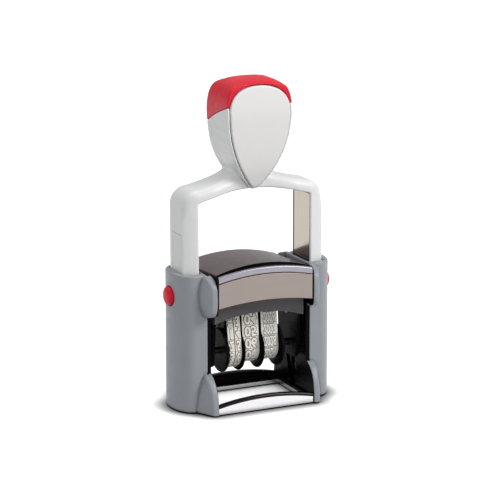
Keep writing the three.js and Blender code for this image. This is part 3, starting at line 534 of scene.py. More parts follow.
def adopt(mesh, node, finish=None):
    """The object of a mesh: it stands for a CAD node, rides on its body and takes its finish."""
    made = bpy.data.objects.new(mesh.name, mesh)
    bpy.context.scene.collection.objects.link(made)
    mesh.materials.append(FINISHES[finish or SLOT_OF[node]])
    made.modifiers.new("weighted", "WEIGHTED_NORMAL").keep_sharp = True
    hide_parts(node)
    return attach(made, BODY_OF[node])


def piece(name, node, vertices, faces, degrees=40, finish=None):
    """A form of its own for a CAD node, in millimetres."""
    mesh = bpy.data.meshes.new(name)
    mesh.from_pydata((np.asarray(vertices) * MM).tolist(), [], [list(map(int, face)) for face in faces])
    mesh.update()
    sharpen(mesh, degrees)
    return adopt(mesh, node, finish)


def flatten(form, degrees):
    """Joins neighbouring faces that lie in one plane."""
    bmesh.ops.dissolve_limit(form, angle_limit=math.radians(degrees), verts=form.verts, edges=form.edges)


def refined(node, width=SOFT_EDGE, segments=2, finish=None):
    """The CAD node's own form with softened edges."""
    mesh = bpy.data.meshes.new(f"{node}_form")
    with edited(frame["nodes"][node].data, mesh) as form:
        bmesh.ops.remove_doubles(form, verts=form.verts, dist=CAD_WELD * MM)
        flatten(form, CAD_FLAT)
        edges = [edge for edge in form.edges if edge.calc_face_angle(0) > math.radians(CAD_EDGE)]
        bmesh.ops.bevel(
            form, geom=edges, offset=width * MM, segments=segments, profile=SOFT_PROFILE, affect="EDGES",
            clamp_overlap=True, loop_slide=True,
        )
    sharpen(mesh, CAD_SHARP)
    return adopt(mesh, node, finish)


def outward(made):
    """Turns every face of a closed form outwards."""
    with edited(made.data) as form:
        bmesh.ops.recalc_face_normals(form, faces=form.faces)


def second_finish(made, finish, chosen):
    """Gives another finish to the faces that are chosen by their centre in millimetres."""
    made.data.materials.append(FINISHES[finish])
    for face in made.data.polygons:
        face.material_index = int(chosen(face.center / MM))


def skin(count, size, looped=False):
    """Faces over rings of equally many points: back to the first ring, or with both ends closed."""
    faces = []
    for ring in range(count if looped else count - 1):
        start, beyond = ring * size, (ring + 1) % count * size
        for step in range(size):
            after = (step + 1) % size
            faces.append([start + step, start + after, beyond + after, beyond + step])
    if not looped:
        faces.append(list(range(size)))
        faces.append([(count - 1) * size + step for step in reversed(range(size))])
    return faces


def lofted(name, node, rings, degrees=35, finish=None):
    """A closed form through rings of equally many points."""
    points = [point for ring in rings for point in ring]
    made = piece(name, node, points, skin(len(rings), len(rings[0])), degrees, finish)
    outward(made)
    return made


def slab(name, node, outline, places, finish=None):
    """An outline in the plane of y and z, thickened between two places along x."""
    lofted(name, node, [[(x, y, z) for y, z in outline] for x in places], finish=finish)


def turned(name, node, profile, height, steps=72, degrees=30, teeth_from=None):
    """A round piece about an axis along X, from pairs of x and radius.

    With fine teeth, which start at a radius, it is bored through.
    """
    angle = np.linspace(0, 2 * math.pi, steps, endpoint=False)
    notch = np.arange(steps) % 4 < 2
    bored = teeth_from is not None
    vertices = []
    for x, radius in profile:
        radii = radius - WHEEL_TEETH_DEPTH * notch * (bored and radius >= teeth_from)
        ring = np.stack([np.full(steps, x), radii * np.cos(angle), height + radii * np.sin(angle)], 1)
        vertices.extend(map(tuple, ring))
    outward(piece(name, node, vertices, skin(len(profile), steps, bored), degrees))


def tube(path, radius, sides):
    """Points and faces of a tube along a path, closed at both ends."""
    ahead = np.gradient(path, axis=0)
    ahead /= np.linalg.norm(ahead, axis=1)[:, None]
    side = np.cross(ahead, (0, 0, 1))
    side /= np.linalg.norm(side, axis=1)[:, None]
    lift = np.cross(side, ahead)
    turn = np.linspace(0, 2 * math.pi, sides, endpoint=False)[None, :, None]
    rings = path[:, None] + radius * (np.cos(turn) * side[:, None] + np.sin(turn) * lift[:, None])
    return rings.reshape(-1, 3), skin(len(path), sides)


# Curves
def catmull(points, steps):
    """A smooth curve through all points."""
    points = np.asarray(points, float)
    ends = np.concatenate([points[:1], points, points[-1:]])
    places = np.linspace(0, len(points) - 1, steps + 1)
    at = np.minimum(places.astype(int), len(points) - 2)
    t = (places - at)[:, None]
    a, b, c, d = (ends[at + shift] for shift in range(4))
    tangent, other = (c - a) / 2, (d - b) / 2
    cubic = (2 * b - 2 * c + tangent + other) * t**3
    return cubic + (3 * c - 3 * b - 2 * tangent - other) * t**2 + tangent * t + b


def bezier(points, steps):
    """A smooth curve that control points pull at."""
    t = np.linspace(0, 1, steps + 1)[:, None]
    layers = [np.full((steps + 1, 2), point, float) for point in points]
    while len(layers) > 1:
        layers = [first * (1 - t) + second * t for first, second in zip(layers, layers[1:])]
    return layers[0]


def arc(x, y, radius, start, stop, steps):
    angle = np.linspace(start, stop, steps + 1)
    return np.stack([x + radius * np.cos(angle), y + radius * np.sin(angle)], 1)


def arch_heights(x, half, ends, rise):
    """Heights at x of a round arch between two ends, which is straight without a rise."""
    if not rise:
        return np.full(len(x), float(ends))
    radius = (half * half + rise * rise) / (2 * rise)
    return ends + rise - radius + np.sqrt(radius * radius - x * x)


def soft_box(left, right, low, high, radii, steps=5):
    """A rectangle with a rounding of its own at each corner: low left, low right, high right, high left."""
    corners = [(left, low, 1, 1), (right, low, -1, 1), (right, high, -1, -1), (left, high, 1, -1)]
    starts = [math.pi, 1.5 * math.pi, 0, 0.5 * math.pi]
    points = []
    for (x, z, way_x, way_z), start, radius in zip(corners, starts, radii):
        corner = arc(x + way_x * radius, z + way_z * radius, radius, start, start + math.pi / 2, steps)
        points.extend(map(tuple, corner))
    return points


def eased(share):
    """A share from 0 to 1 that starts and ends gently."""
    share = np.clip(share, 0, 1)
    return share * share * (3 - 2 * share)


# Fields: the signed distance to a surface, negative inside
def outline_field(points, u, v):
    """Distance to a closed outline that is drawn in the plane of u and v."""
    points = np.asarray(points, float)
    least = np.full(np.broadcast(u, v).shape, np.inf)
    inside = np.zeros(least.shape, bool)
    for (ax, ay), (bx, by) in zip(points, np.roll(points, -1, 0)):
        along_x, along_y = bx - ax, by - ay
        length = along_x**2 + along_y**2
        if length == 0:
            continue
        t = np.clip(((u - ax) * along_x + (v - ay) * along_y) / length, 0, 1)
        least = np.minimum(least, (u - ax - along_x * t) ** 2 + (v - ay - along_y * t) ** 2)
        if along_y:
            inside ^= ((v >= ay) != (v >= by)) & (u < ax + (v - ay) * along_x / along_y)
    return np.where(inside, -1, 1) * np.sqrt(least)


def rounded(first, second, radius):
    """What two forms share, with its outer edge rounded."""
    corner = np.hypot(np.maximum(first + radius, 0), np.maximum(second + radius, 0))
    return np.minimum(-radius, np.maximum(first, second)) + corner


def shared(*fields):
    """What all forms share."""
    return functools.reduce(np.maximum, fields)


def without(body, *gaps):
    """A form with gaps cut out of it."""
    return shared(body, *(-gap for gap in gaps))


def between(value, low, high):
    return np.maximum(low - value, value - high)


CORNERS = [(i, j, k) for i in (0, 1) for j in (0, 1) for k in (0, 1)]


def net(field, low, high, step):
    """The surface of a field as a net of quads: one point a cell, at the middle of its crossings."""
    axes = [np.arange(a - 1.5 * step, b + 2.5 * step, step) for a, b in zip(low, high)]
    grid = np.meshgrid(*axes, indexing="ij", sparse=True)
    value = np.broadcast_to(field(*grid), [len(axis) for axis in axes])
    inside = value < 0
    blocks = [tuple(slice(c, n - 1 + c) for c, n in zip(corner, value.shape)) for corner in CORNERS]
    count = sum(inside[block].astype(np.int8) for block in blocks)
    active = (count > 0) & (count < len(CORNERS))
    cells = np.argwhere(active)
    number = np.full(active.shape, -1)
    number[active] = np.arange(len(cells))
    at = {corner: value[tuple((cells + corner).T)] for corner in CORNERS}
    total, hits = np.zeros((len(cells), 3)), np.zeros(len(cells))
    for axis in (X, Y, Z):
        for corner in (c for c in CORNERS if not c[axis]):
            other = tuple(c + (place == axis) for place, c in enumerate(corner))
            first, second = at[corner], at[other]
            crossed = (first < 0) != (second < 0)
            share = np.where(crossed, first / np.where(crossed, first - second, 1), 0)
            total += (np.array(corner) + share[:, None] * np.eye(3)[axis]) * crossed[:, None]
            hits += crossed
    vertices = np.array([axis[0] for axis in axes]) + (cells + total / hits[:, None]) * step
    faces = []
    for axis in (X, Y, Z):
        b, c = (axis + 1) % 3, (axis + 2) % 3
        lower, upper = [slice(1, -1)] * 3, [slice(1, -1)] * 3
        lower[axis], upper[axis] = slice(0, -1), slice(1, None)
        begin, end = inside[tuple(lower)], inside[tuple(upper)]
        for flag, way in ((begin & ~end, 1), (~begin & end, -1)):
            edge = np.argwhere(flag)
            edge[:, [b, c]] += 1
            ring = []
            for down, across in ((1, 1), (0, 1), (0, 0), (1, 0)):
                cell = edge.copy()
                cell[:, b] -= down
                cell[:, c] -= across
                ring.append(number[tuple(cell.T)])
            faces.append(np.stack(ring[::way], 1))
    return vertices, np.concatenate(faces)


def netted(name, node, vertices, faces, finish=None):
    """A piece from a net, with its flat stretches joined into single faces."""
    made = piece(name, node, vertices, faces, NET_SHARP, finish)
    with edited(made.data) as form:
        flatten(form, NET_FLAT)
    sharpen(made.data, NET_SHARP)


# Handle and knob
def knob_outline(half_width, low, widest, high, top=TOP_CURVE_SHARES):
    """The teardrop from the front: a curve up to its widest place and another one over its top."""
    lower = bezier([(half_width * x, low + (widest - low) * z) for x, z in LOW_CURVE_SHARES], 40)
    upper = bezier([(half_width * x, widest + (high - widest) * z) for x, z in top], 40)
    right = np.concatenate([lower, upper[1:]])
    return np.concatenate([right, (right * (-1, 1))[::-1][1:]])


def knob_places(shares):
    """Places from the side, as depth and height, from shares of the knob's depth and height."""
    places = []
    for out, up in shares:
        depth = KNOB_FRONT if out < 0 else KNOB_REAR
        places.append((depth * out, KNOB_LOW + KNOB_HEIGHT * up))
    return places


def ahead_of_front(y, z, move=0.0):
    """Distance in front of the knob's front curve, as a field that is negative behind it."""
    curve = catmull([(KNOB_LOW + KNOB_HEIGHT * up, -KNOB_FRONT * out) for out, up in FRONT_SHARES], 60)
    heights, places = curve[:, 0], curve[:, 1]
    front = np.interp(z, heights, places)
    slope = np.interp(z, heights, np.gradient(places, heights))
    return (front + move - y) / np.sqrt(1 + slope**2)


def knob_side_outline():
    """The knob from the side, which runs on far ahead of its front curve."""
    ahead = -FAR_AHEAD_SHARE * KNOB_FRONT
    top = catmull(knob_places(CROWN_SHARES), 40)
    back = catmull([top[-1], *knob_places(REAR_SHARES)], 60)
    keel = [
        (-KNOB_KEEL, back[-1][1]),
        (-KNOB_FRONT * FRONT_SHARES[0][0], KNOB_LOW),
        (ahead, KNOB_LOW),
        (ahead, top[0][1]),
    ]
    return np.concatenate([top, back[1:], keel])


def knob_form(x, y, z, inset=0.0):
    """Knob and hood together, or a smaller form inside them."""
    widest = KNOB_LOW + KNOB_WIDEST
    outline = knob_outline(KNOB_HALF_WIDTH, KNOB_LOW, widest, KNOB_CREST, HOOD_CURVE_SHARES)
    front_view = outline_field(outline, x, z)
    side_view = outline_field(knob_side_outline(), y, z)
    upper = eased(1 - (KNOB_CREST - z) / CROWN_ROUND_HEIGHT)
    back_round = KNOB_BACK_ROUND + (KNOB_CROWN_ROUND - KNOB_BACK_ROUND) * upper
    body = rounded(front_view + inset, side_view + inset, back_round)
    return rounded(body, ahead_of_front(y, z) + inset, KNOB_FRONT_ROUND)


def over_cap_edge(y, z, lift=0.0):
    """Negative over the cap's lower edge, which falls to the rear."""
    edge = catmull(knob_places(CAP_EDGE_SHARES), 40)
    slope = (edge[0, 1] - edge[-1, 1]) / (edge[-1, 0] - edge[0, 0])
    return (np.interp(y, edge[:, 0], edge[:, 1]) + lift - z) / math.hypot(1, slope)


def face_field(x, z, grow=0.0):
    """The face plate's outline from the front."""
    outline = knob_outline(
        KNOB_HALF_WIDTH - KNOB_RIM, KNOB_LOW + KNOB_RIM, KNOB_LOW + KNOB_WIDEST, KNOB_CREST - FACE_TOP_GAP
    )
    return outline_field(outline, x, z) - grow


def yoke_outline():
    """The outer line of the legs and the bridge, closed under the legs."""
    shoulder_x = LEG_OUTER - SHOULDER_RADIUS
    shoulder_top = BRIDGE_END + SHOULDER_RISE
    neck = (NECK_HALF_WIDTH, BRIDGE_MID + NECK_RISE)
    control = ((shoulder_x + neck[0]) / 2 - NECK_HEIGHT, (shoulder_top + neck[1]) / 2)
    right = np.concatenate([
        [(LEG_OUTER, LEG_LOW)],
        arc(shoulder_x, shoulder_top - SHOULDER_RADIUS, SHOULDER_RADIUS, 0, math.pi / 2, 24),
        bezier([(shoulder_x, shoulder_top), control, neck], 24)[1:],
        [(neck[0], neck[1] + NECK_HEIGHT)],
    ])
    return np.concatenate([right, (right * (-1, 1))[::-1]])


def yoke_opening():
    """The opening between the legs and under the bridge."""
    x = np.linspace(-STRIP_INNER, STRIP_INNER, 49)
    under = np.stack([x, arch_heights(x, STRIP_INNER, BRIDGE_END, BRIDGE_MID - BRIDGE_END)], 1)
    low = LEG_LOW - LEG_OVERRUN
    return [(-STRIP_INNER, low), *under, (STRIP_INNER, low)]


def handle_field(x, y, z):
    """The white moulding: bridge, legs and the knob's body, with the legs' fronts curved back outwards."""
    across, front = np.abs(x), y < 0
    middle = eased((BRIDGE_FAR - across) / (BRIDGE_FAR - BRIDGE_NEAR))
    outwards = np.clip((across - STRIP_INNER) / (LEG_OUTER - STRIP_INNER), 0, 1)
    fall = LEG_FRONT_FALL * (LEG_FALL_SHARE * outwards + (1 - LEG_FALL_SHARE) * outwards**2)
    depth = np.abs(y) - LEG_HALF_DEPTH + fall * front
    thinned = depth + BRIDGE_THINNING * middle * front
    upper = np.clip((z - BRIDGE_END + SHOULDER_BLEND) / SHOULDER_BLEND, 0, 1)
    corner = LEG_OUTER_ROUND + (SHOULDER_ROUND - LEG_OUTER_ROUND) * upper
    outer_round = np.where(front, corner + (BRIDGE_ROUND - corner) * middle, LEG_REAR_ROUND)
    inner_round = LEG_INNER_ROUND + (BRIDGE_UNDER_ROUND - LEG_INNER_ROUND) * middle
    yoke = shared(
        rounded(outline_field(yoke_outline(), x, z), thinned, outer_round),
        rounded(-outline_field(yoke_opening(), x, z), thinned, inner_round),
    )
    lower = rounded(knob_form(x, y, z), -over_cap_edge(y, z, -SEAM), KNOB_LEDGE_ROUND)
    body = shared(np.minimum(lower, yoke), NECK_CREASE - np.hypot(lower, yoke))
    core = knob_form(x, y, z, CAP_WALL + SEAM)
    recess = shared(face_field(x, z, FACE_GROOVE), -ahead_of_front(y, z, FACE_THICKNESS))
    body = rounded(np.minimum(body, core), -recess, FACE_RECESS_ROUND)
    strip_span = between(y, -STRIP_HALF_DEPTH - STRIP_GAP, STRIP_HALF_DEPTH + STRIP_REACH + STRIP_GAP)
    pocket = shared(across - LEG_INNER, strip_span, z - BRIDGE_END + SEAM)
    walls = between(across, LEG_INNER + LEG_WALL, LEG_OUTER - LEG_WALL)
    hollow = shared(walls, depth + LEG_SIDE_WALL, z - LEG_LOW - LEG_HOLLOW)
    insert_side = np.abs(y) - INSERT_HALF - INSERT_SEAM
    groove = shared(LEG_OUTER - INSERT_DEPTH - across, insert_side, z - INSERT_TOP - SEAM)
    bearing = shared(np.hypot(y, z - AXLE_HEIGHT) - PIN_BORE, across - LEG_INNER - LEG_WALL)
    return without(body, pocket, hollow, groove, bearing)


def cap_field(x, y, z):
    """The red hood, hollow and open towards the face plate."""
    shell = rounded(knob_form(x, y, z), over_cap_edge(y, z), KNOB_LEDGE_ROUND)
    core = knob_form(x, y, z, CAP_WALL)
    mouth = shared(face_field(x, z, FACE_GROOVE), -ahead_of_front(y, z, FACE_THICKNESS + CAP_WALL))
    return rounded(without(shell, core), -mouth, CAP_MOUTH_ROUND)


def face_plate_field(x, y, z):
    """The bare plate that follows the knob's front curve."""
    plate = rounded(face_field(x, z), ahead_of_front(y, z, -FACE_PROUD), FACE_ROUND)
    return without(plate, ahead_of_front(y, z, FACE_THICKNESS - FACE_BACK_GAP))


def knob_and_handle():
    half, front, rear = KNOB_HALF_WIDTH + MARGIN, -KNOB_FRONT - FACE_PROUD - MARGIN, KNOB_REAR + MARGIN
    cap_low = span("knob_cap", Z)[0] - MARGIN
    for name, node, field, low, high, step, finish in (
        ("handle_moulding", "handle", handle_field,
         (-LEG_OUTER, front, LEG_LOW), (LEG_OUTER, rear, KNOB_CREST), HANDLE_STEP, None),
        ("knob_hood", "knob_cap", cap_field,
         (-half, front, cap_low), (half, rear, KNOB_CREST + MARGIN), KNOB_STEP, None),
        ("knob_face", "knob_face_plate", face_plate_field,
         (-half, front, KNOB_LOW), (half, 0, KNOB_CREST), KNOB_STEP, "face_plastic"),
    ):
        netted(name, node, *net(field, low, high, step), finish)


# Columns
def column_plan():
    """The column from above: flat towards the block and round on its outer side."""
    centre = COLUMN_INNER + COLUMN_FLAT
    reach = COLUMN_OUTER - centre
    side = arc(0, 0, 1, -math.pi / 2, math.pi / 2, 60) * (reach, COLUMN_HALF_DEPTH) + (centre, 0)
    return np.concatenate([[(COLUMN_INNER, -COLUMN_HALF_DEPTH)], side, [(COLUMN_INNER, COLUMN_HALF_DEPTH)]])


def wing_field(x, y, z, shares, border_shares, front, root_width, low, high):
    """An ear or fin on both ends of the column: from its border there it thins towards its front edge."""
    root = COLUMN_HALF_DEPTH - COLUMN_WALL
    edge = catmull([(root + (front - root) * out, low + (high - low) * up) for out, up in shares], 48)
    border = catmull(border_shares, 30)[::-1]
    inner = CHEEK_INNER + WING_GAP
    root_x = inner + root_width * np.interp(z, low + (high - low) * border[:, 1], border[:, 0])
    tip_x = inner + WING_TIP_WIDTH
    reach = np.maximum(np.interp(z, edge[::-1, 1], edge[::-1, 0]), edge[len(edge) // 2, 0])
    depth = np.abs(y)
    share = np.clip((reach - depth) / (reach - root), *WING_SHARE_RANGE)
    outer = (x - tip_x - (root_x - tip_x) * share) * WING_STEEPNESS
    side_view = outline_field(np.concatenate([edge, [(root, low)]]), depth, z)
    wing = rounded(rounded(side_view, outer, WING_OUTER_ROUND), inner - x, WING_EDGE)
    return without(wing, shared(x - COLUMN_INNER - WING_EDGE, depth - CHEEK_HALF_DEPTH - CHEEK_GAP))


def column_field(x, y, z):
    """The right column: a hollow shaft with ears and fins, open for the leg, button, pin and foot."""
    plan = outline_field(column_plan(), x, y)
    shaft = rounded(plan, between(z, COLUMN_LOW, COLUMN_TOP), COLUMN_EDGE)
    ear_low = COLUMN_TOP - EAR_HEIGHT
    ear = wing_field(x, y, z, EAR_SHARES, EAR_BORDER_SHARES, EAR_FRONT, EAR_ROOT_WIDTH, ear_low, COLUMN_TOP)
    fin = wing_field(x, y, z, FIN_SHARES, FIN_BORDER_SHARES, FIN_FRONT, FIN_ROOT_WIDTH, COLUMN_LOW, FIN_TOP)
    wings = np.minimum(ear, fin)
    body = shared(np.minimum(shaft, wings), WING_CREASE - np.hypot(shaft, wings))
    leg_side = between(x, STRIP_INNER - 2 * SLIDE_GAP, LEG_OUTER + SLIDE_GAP)
    leg = rounded(leg_side, np.abs(y) - LEG_HALF_DEPTH - SLIDE_GAP, LEG_MOUTH_ROUND)
    body = rounded(body, -shared(leg, FLOOR_TOP - z), MOUTH_ROUND)
    bore = shared(np.hypot(y, z - BUTTON_HEIGHT) - BUTTON_BORE, LEG_OUTER - x)
    body = rounded(body, -bore, MOUTH_ROUND)
    hollow = shared(plan + COLUMN_WALL, between(z, FLOOR_TOP, COLUMN_TOP - COLLAR_HEIGHT))
    pin_height = np.clip(z, AXLE_HEIGHT - PRESS_TRAVEL, AXLE_HEIGHT)
    pin_slot = shared(
        np.hypot(y, z - pin_height) - PIN_BORE - PIN_GAP, x - COLUMN_INNER - COLUMN_WALL - CHEEK_GAP
    )
    foot = shared(plan + FOOT_RIM, z - FOOT_TOP)
    return without(body, hollow, pin_slot, foot)


def columns():
    low = (CHEEK_INNER, -FIN_FRONT, COLUMN_LOW)
    high = (COLUMN_OUTER, FIN_FRONT, COLUMN_TOP)
    vertices, faces = net(column_field, low, high, COLUMN_STEP)
    for side, way in SIDES.items():
        netted(f"{side}_post", f"{side}_column", vertices * (way, 1, 1), faces[:, ::way])


def ear_liner(side):
    """The cheek's black edge between the column's ear and the ends of the panel and cover."""
    inner, outer = span("front_window", X)[1] + LINER_GAP, CHEEK_INNER + EAR_LINER_OVERLAP
    low, high = COLUMN_TOP - EAR_HEIGHT + EAR_LINER_DROP, span("top_cover", Z)[0] + LINER_RISE
    front, rear = EAR_LINER_INSET - EAR_FRONT, EAR_LINER_SINK - CHEEK_HALF_DEPTH
    outline = soft_box(front, rear, low, high, EAR_LINER_ROUNDS, 8)
    slab(f"{side}_liner", f"{side}_cheek", outline, (SIDES[side] * inner, SIDES[side] * outer))


def fin_liner(side, end):
    """The cheek's black edge that lines a fin's inner face."""
    root, low = CHEEK_HALF_DEPTH - WING_GAP, COLUMN_LOW + FIN_LINER_INSET
    reach, height = FIN_FRONT - FIN_LINER_INSET - root, FIN_TOP - COLUMN_LOW - 2 * FIN_LINER_INSET
    edge = catmull([(root + reach * out, low + height * up) for out, up in FIN_SHARES], 24)
    outline = [(ENDS[end] * y, z) for y, z in (*edge, (root, low))]
    places = [SIDES[side] * (CHEEK_INNER + gap) for gap in (LINER_GAP, FIN_LINER_THICKNESS)]
    slab(f"{end}_{side}_fin_liner", f"{side}_cheek", outline, places)


# Leg strips
def leg_strip(side):
    """The polished strip, which reaches the rear of the leg."""
    made = refined(f"{side}_leg_strip")
    for vertex in made.data.vertices:
        if vertex.co.y > (STRIP_HALF_DEPTH - STRIP_END) * MM:
            vertex.co.y += STRIP_REACH * MM


def strip_edge(side):
    """The strip's bent rear edge inside the leg, made dark as painted shade."""
    node = f"{side}_leg_strip"
    face, rear = STRIP_INNER - STRIP_EDGE_PROUD, STRIP_HALF_DEPTH + STRIP_REACH + STRIP_EDGE_OVERHANG
    rounds = (STRIP_EDGE_ROUND,) * 4
    outline = soft_box(face, face + STRIP_EDGE_DEPTH, rear - STRIP_EDGE, rear, rounds, 3)
    rings = [[(SIDES[side] * x, y, z) for x, y in outline] for z in span(node, Z)]
    # The dark finish on this edge is painted shade.
    lofted(f"{side}_edge", node, rings, finish="oiled_steel")


# Number bands
def belt_path(name, lift):
    """The belt's line round nose and wheel, from the nose's top towards the front, and its normals."""
    low, high = span(f"{name}_band", Z)
    wheel_radius = span(f"{name}_band", Y)[1]
    nose, wheel = high - BAND_NOSE_RADIUS, low + wheel_radius
    lean = math.asin((wheel_radius - BAND_NOSE_RADIUS) / (nose - wheel))
    bends = [
        (nose, BAND_NOSE_RADIUS, np.linspace(math.pi / 2, math.pi - lean, 12)),
        (wheel, wheel_radius, np.linspace(math.pi - lean, 2 * math.pi + lean, 40)),
        (nose, BAND_NOSE_RADIUS, np.linspace(lean, math.pi / 2, 12)),
    ]
    places, normals = [], []
    for height, radius, turn in bends:
        out = np.stack([np.cos(turn), np.sin(turn)], 1)
        places.append(out * (radius + lift) + (0, height))
        normals.append(out)
    return np.concatenate(places), np.concatenate(normals)


def belt_map(name, points):
    """Points of a flat strip (across, along, up) laid round the belt, and the belt's length."""
    places, normals = belt_path(name, 0)
    walked = np.concatenate([[0], np.cumsum(np.hypot(*np.diff(places, axis=0).T))])
    along = np.mod(points[:, 1], walked[-1])
    y = np.interp(along, walked, places[:, 0]) + points[:, 2] * np.interp(along, walked, normals[:, 0])
    z = np.interp(along, walked, places[:, 1]) + points[:, 2] * np.interp(along, walked, normals[:, 1])
    return np.stack([points[:, 0], y, z], 1), walked[-1]


def character_mesh(text, width, spread, depth):
    """Raised characters about the middle of a row."""
    curve = bpy.data.curves.new("row", "FONT")
    curve.body = text
    curve.align_x, curve.align_y = "CENTER", "CENTER"
    curve.size = 1.0
    curve.resolution_u = 3
    curve.extrude = 0.5
    curve.offset = spread / CHARACTER_HEIGHT
    holder = bpy.data.objects.new("row", curve)
    bpy.context.scene.collection.objects.link(holder)
    mesh = bpy.data.meshes.new_from_object(holder.evaluated_get(bpy.context.evaluated_depsgraph_get()))
    points = np.array([vertex.co for vertex in mesh.vertices]).reshape(-1, 3)
    faces = [list(face.vertices) for face in mesh.polygons]
    bpy.data.objects.remove(holder)
    bpy.data.meshes.remove(mesh)
    tall = CHARACTER_HEIGHT / FONT_HEIGHT_SHARE
    wide = min(tall, (width - CHARACTER_MARGIN) / (FONT_WIDTH_SHARE * len(text)))
    return points * (wide, tall, depth) + (0, 0, depth / 2), faces


def bar(half, place, thick, depth):
    """One raised bar across a row."""
    corners = ((-half, place - thick), (half, place - thick), (half, place + thick), (-half, place + thick))
    return np.array([(x, y, z) for z in (0, depth) for x, y in corners]), skin(2, 4)


def bars(width, spread, depth):
    """Plain bars across a row without a number."""
    half = width / 2 - CHARACTER_MARGIN + spread
    points, faces = [], []
    for place in BAR_PLACES:
        corners, sides = bar(half, place, BAR_HALF_THICKNESS + spread, depth)
        start = len(points)
        points.extend(corners)
        faces.extend([[start + corner for corner in face] for face in sides])
    return np.array(points), faces


def band(name):
    """A rubber loop with its rows of raised characters, each on a wider dark rim that is partly ink and
    partly painted shade, and a dark line between rows.
    """
    left, right = span(f"{name}_band", X)
    left, right = left + BAND_SIDE_GAP, right - BAND_SIDE_GAP
    middle, width = (left + right) / 2, right - left
    outer, _ = belt_path(name, -BAND_RELIEF)
    inner, _ = belt_path(name, -BAND_THICKNESS)
    shoulder = outer + (inner - outer) * BAND_SHOULDER_SHARE
    rings = [
        (left + BAND_EDGE, outer), (right - BAND_EDGE, outer), (right, shoulder),
        (right, inner), (left, inner), (left, shoulder),
    ]
    vertices = [(x, y, z) for x, ring in rings for y, z in ring]
    faces = skin(len(rings), len(outer), looped=True)
    ink_and_shade_marks = [0] * len(faces)
    _, length = belt_map(name, np.zeros((1, 3)))
    rows = round(length / BAND_PITCH)
    texts = BAND_TEXTS[name]
    for row in range(rows):
        text, place = texts[row % len(texts)], row * length / rows
        parts = [(bar(width / 2 - ROW_LINE, length / rows / 2, ROW_LINE / 2, ROW_LINE_DEPTH), 1)]
        # The wider copy takes the dark finish: partly ink residue, partly painted shade round each
        # character.
        for spread, depth, ink_and_shade_mark in ((CHARACTER_SPREAD, INK_AND_SHADE_DEPTH, 1), (CHARACTER_BOLD, BAND_RELIEF, 0)):
            raised = character_mesh(text, width, spread, depth) if text else bars(width, spread, depth)
            parts.append((raised, ink_and_shade_mark))
        for (points, sides), ink_and_shade_mark in parts:
            laid, _ = belt_map(name, points + (middle, place, -BAND_RELIEF))
            start = len(vertices)
            vertices.extend(map(tuple, laid))
            faces.extend([[start + corner for corner in face] for face in sides])
            ink_and_shade_marks.extend([ink_and_shade_mark] * len(sides))
    made = piece(f"{name}_loop", f"{name}_band", vertices, faces, 30)
    made.data.materials.append(FINISHES["ink_residue"])
    made.data.polygons.foreach_set("material_index", ink_and_shade_marks)
    outward(made)


def nose_stem(name):
    """The black core between a band's two runs, from over its drum up into the nose."""
    left, right = span(f"{name}_band", X)
    low, high = span(f"{name}_band", Z)
    over_drum = low + 2 * span(f"{name}_band", Y)[1]
    outline = soft_box(-STEM_HALF, STEM_HALF, over_drum, high - BAND_NOSE_RADIUS, (STEM_ROUND,) * 4, 3)
    slab(f"{name}_stem", "band_nose", outline, (left + STEM_GAP, right - STEM_GAP), "black_plastic")


# Wheels, springs and buttons
def thumbwheel(name):
    """A drum with a thin smooth disc at one side, finely toothed at its rim."""
    node = f"{name}_wheel"
    low, high = span(node, Z)
    radius = (high - low) / 2
    left, right = span(node, X)
    band_left, band_right = span(f"{name}_band", X)
    drum = span(f"{name}_band", Y)[1] - DRUM_DEPTH
    way = 1 if right - band_right > band_left - left else -1
    outer, inner, far = right, band_right + DISC_GAP, left
    if way < 0:
        outer, inner, far = left, band_left - DISC_GAP, right
    rise, dish = inner + way * DISC_RIM_RISE, outer - way * DISC_DISH
    edge = radius - DISC_EDGE
    profile = [
        (far, WHEEL_BORE), (far, drum), (inner, drum),
        (inner, radius - DISC_RIM - DISC_SLOPE), (rise, radius - DISC_RIM),
        (rise, edge), (rise + way * DISC_EDGE / 2, radius),
        (outer - way * DISC_EDGE, radius), (outer, edge), (outer, radius - DISC_OUTER_RIM),
        (dish, radius - DISC_OUTER_RIM - DISC_SLOPE), (dish, WHEEL_BORE),
    ]
    turned(f"{name}_disc", node, profile, (low + high) / 2, WHEEL_STEPS, 35, edge)


def return_spring(side):
    """A round wire coil with closed end turns; it is built at one length, though the real spring shortens
    with the press.
    """
    node = f"{side}_return_spring"
    low, high = span(node, Z)
    centre = sum(span(node, X)) / 2
    turns = np.linspace(0, SPRING_TURNS, SPRING_TURNS * COIL_STEPS + 1)
    wire = 2 * WIRE_RADIUS
    rise, closed = high - low - wire, wire * SPRING_END_TURNS
    marks = [0, SPRING_END_TURNS, SPRING_TURNS - SPRING_END_TURNS, SPRING_TURNS]
    heights = low + WIRE_RADIUS + np.interp(turns, marks, [0, closed, rise - closed, rise])
    angle = 2 * math.pi * turns
    path = np.stack([centre + COIL_RADIUS * np.cos(angle), COIL_RADIUS * np.sin(angle), heights], 1)
    made = piece(f"{side}_coil", node, *tube(path, WIRE_RADIUS, WIRE_SIDES), 60)
    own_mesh(made)


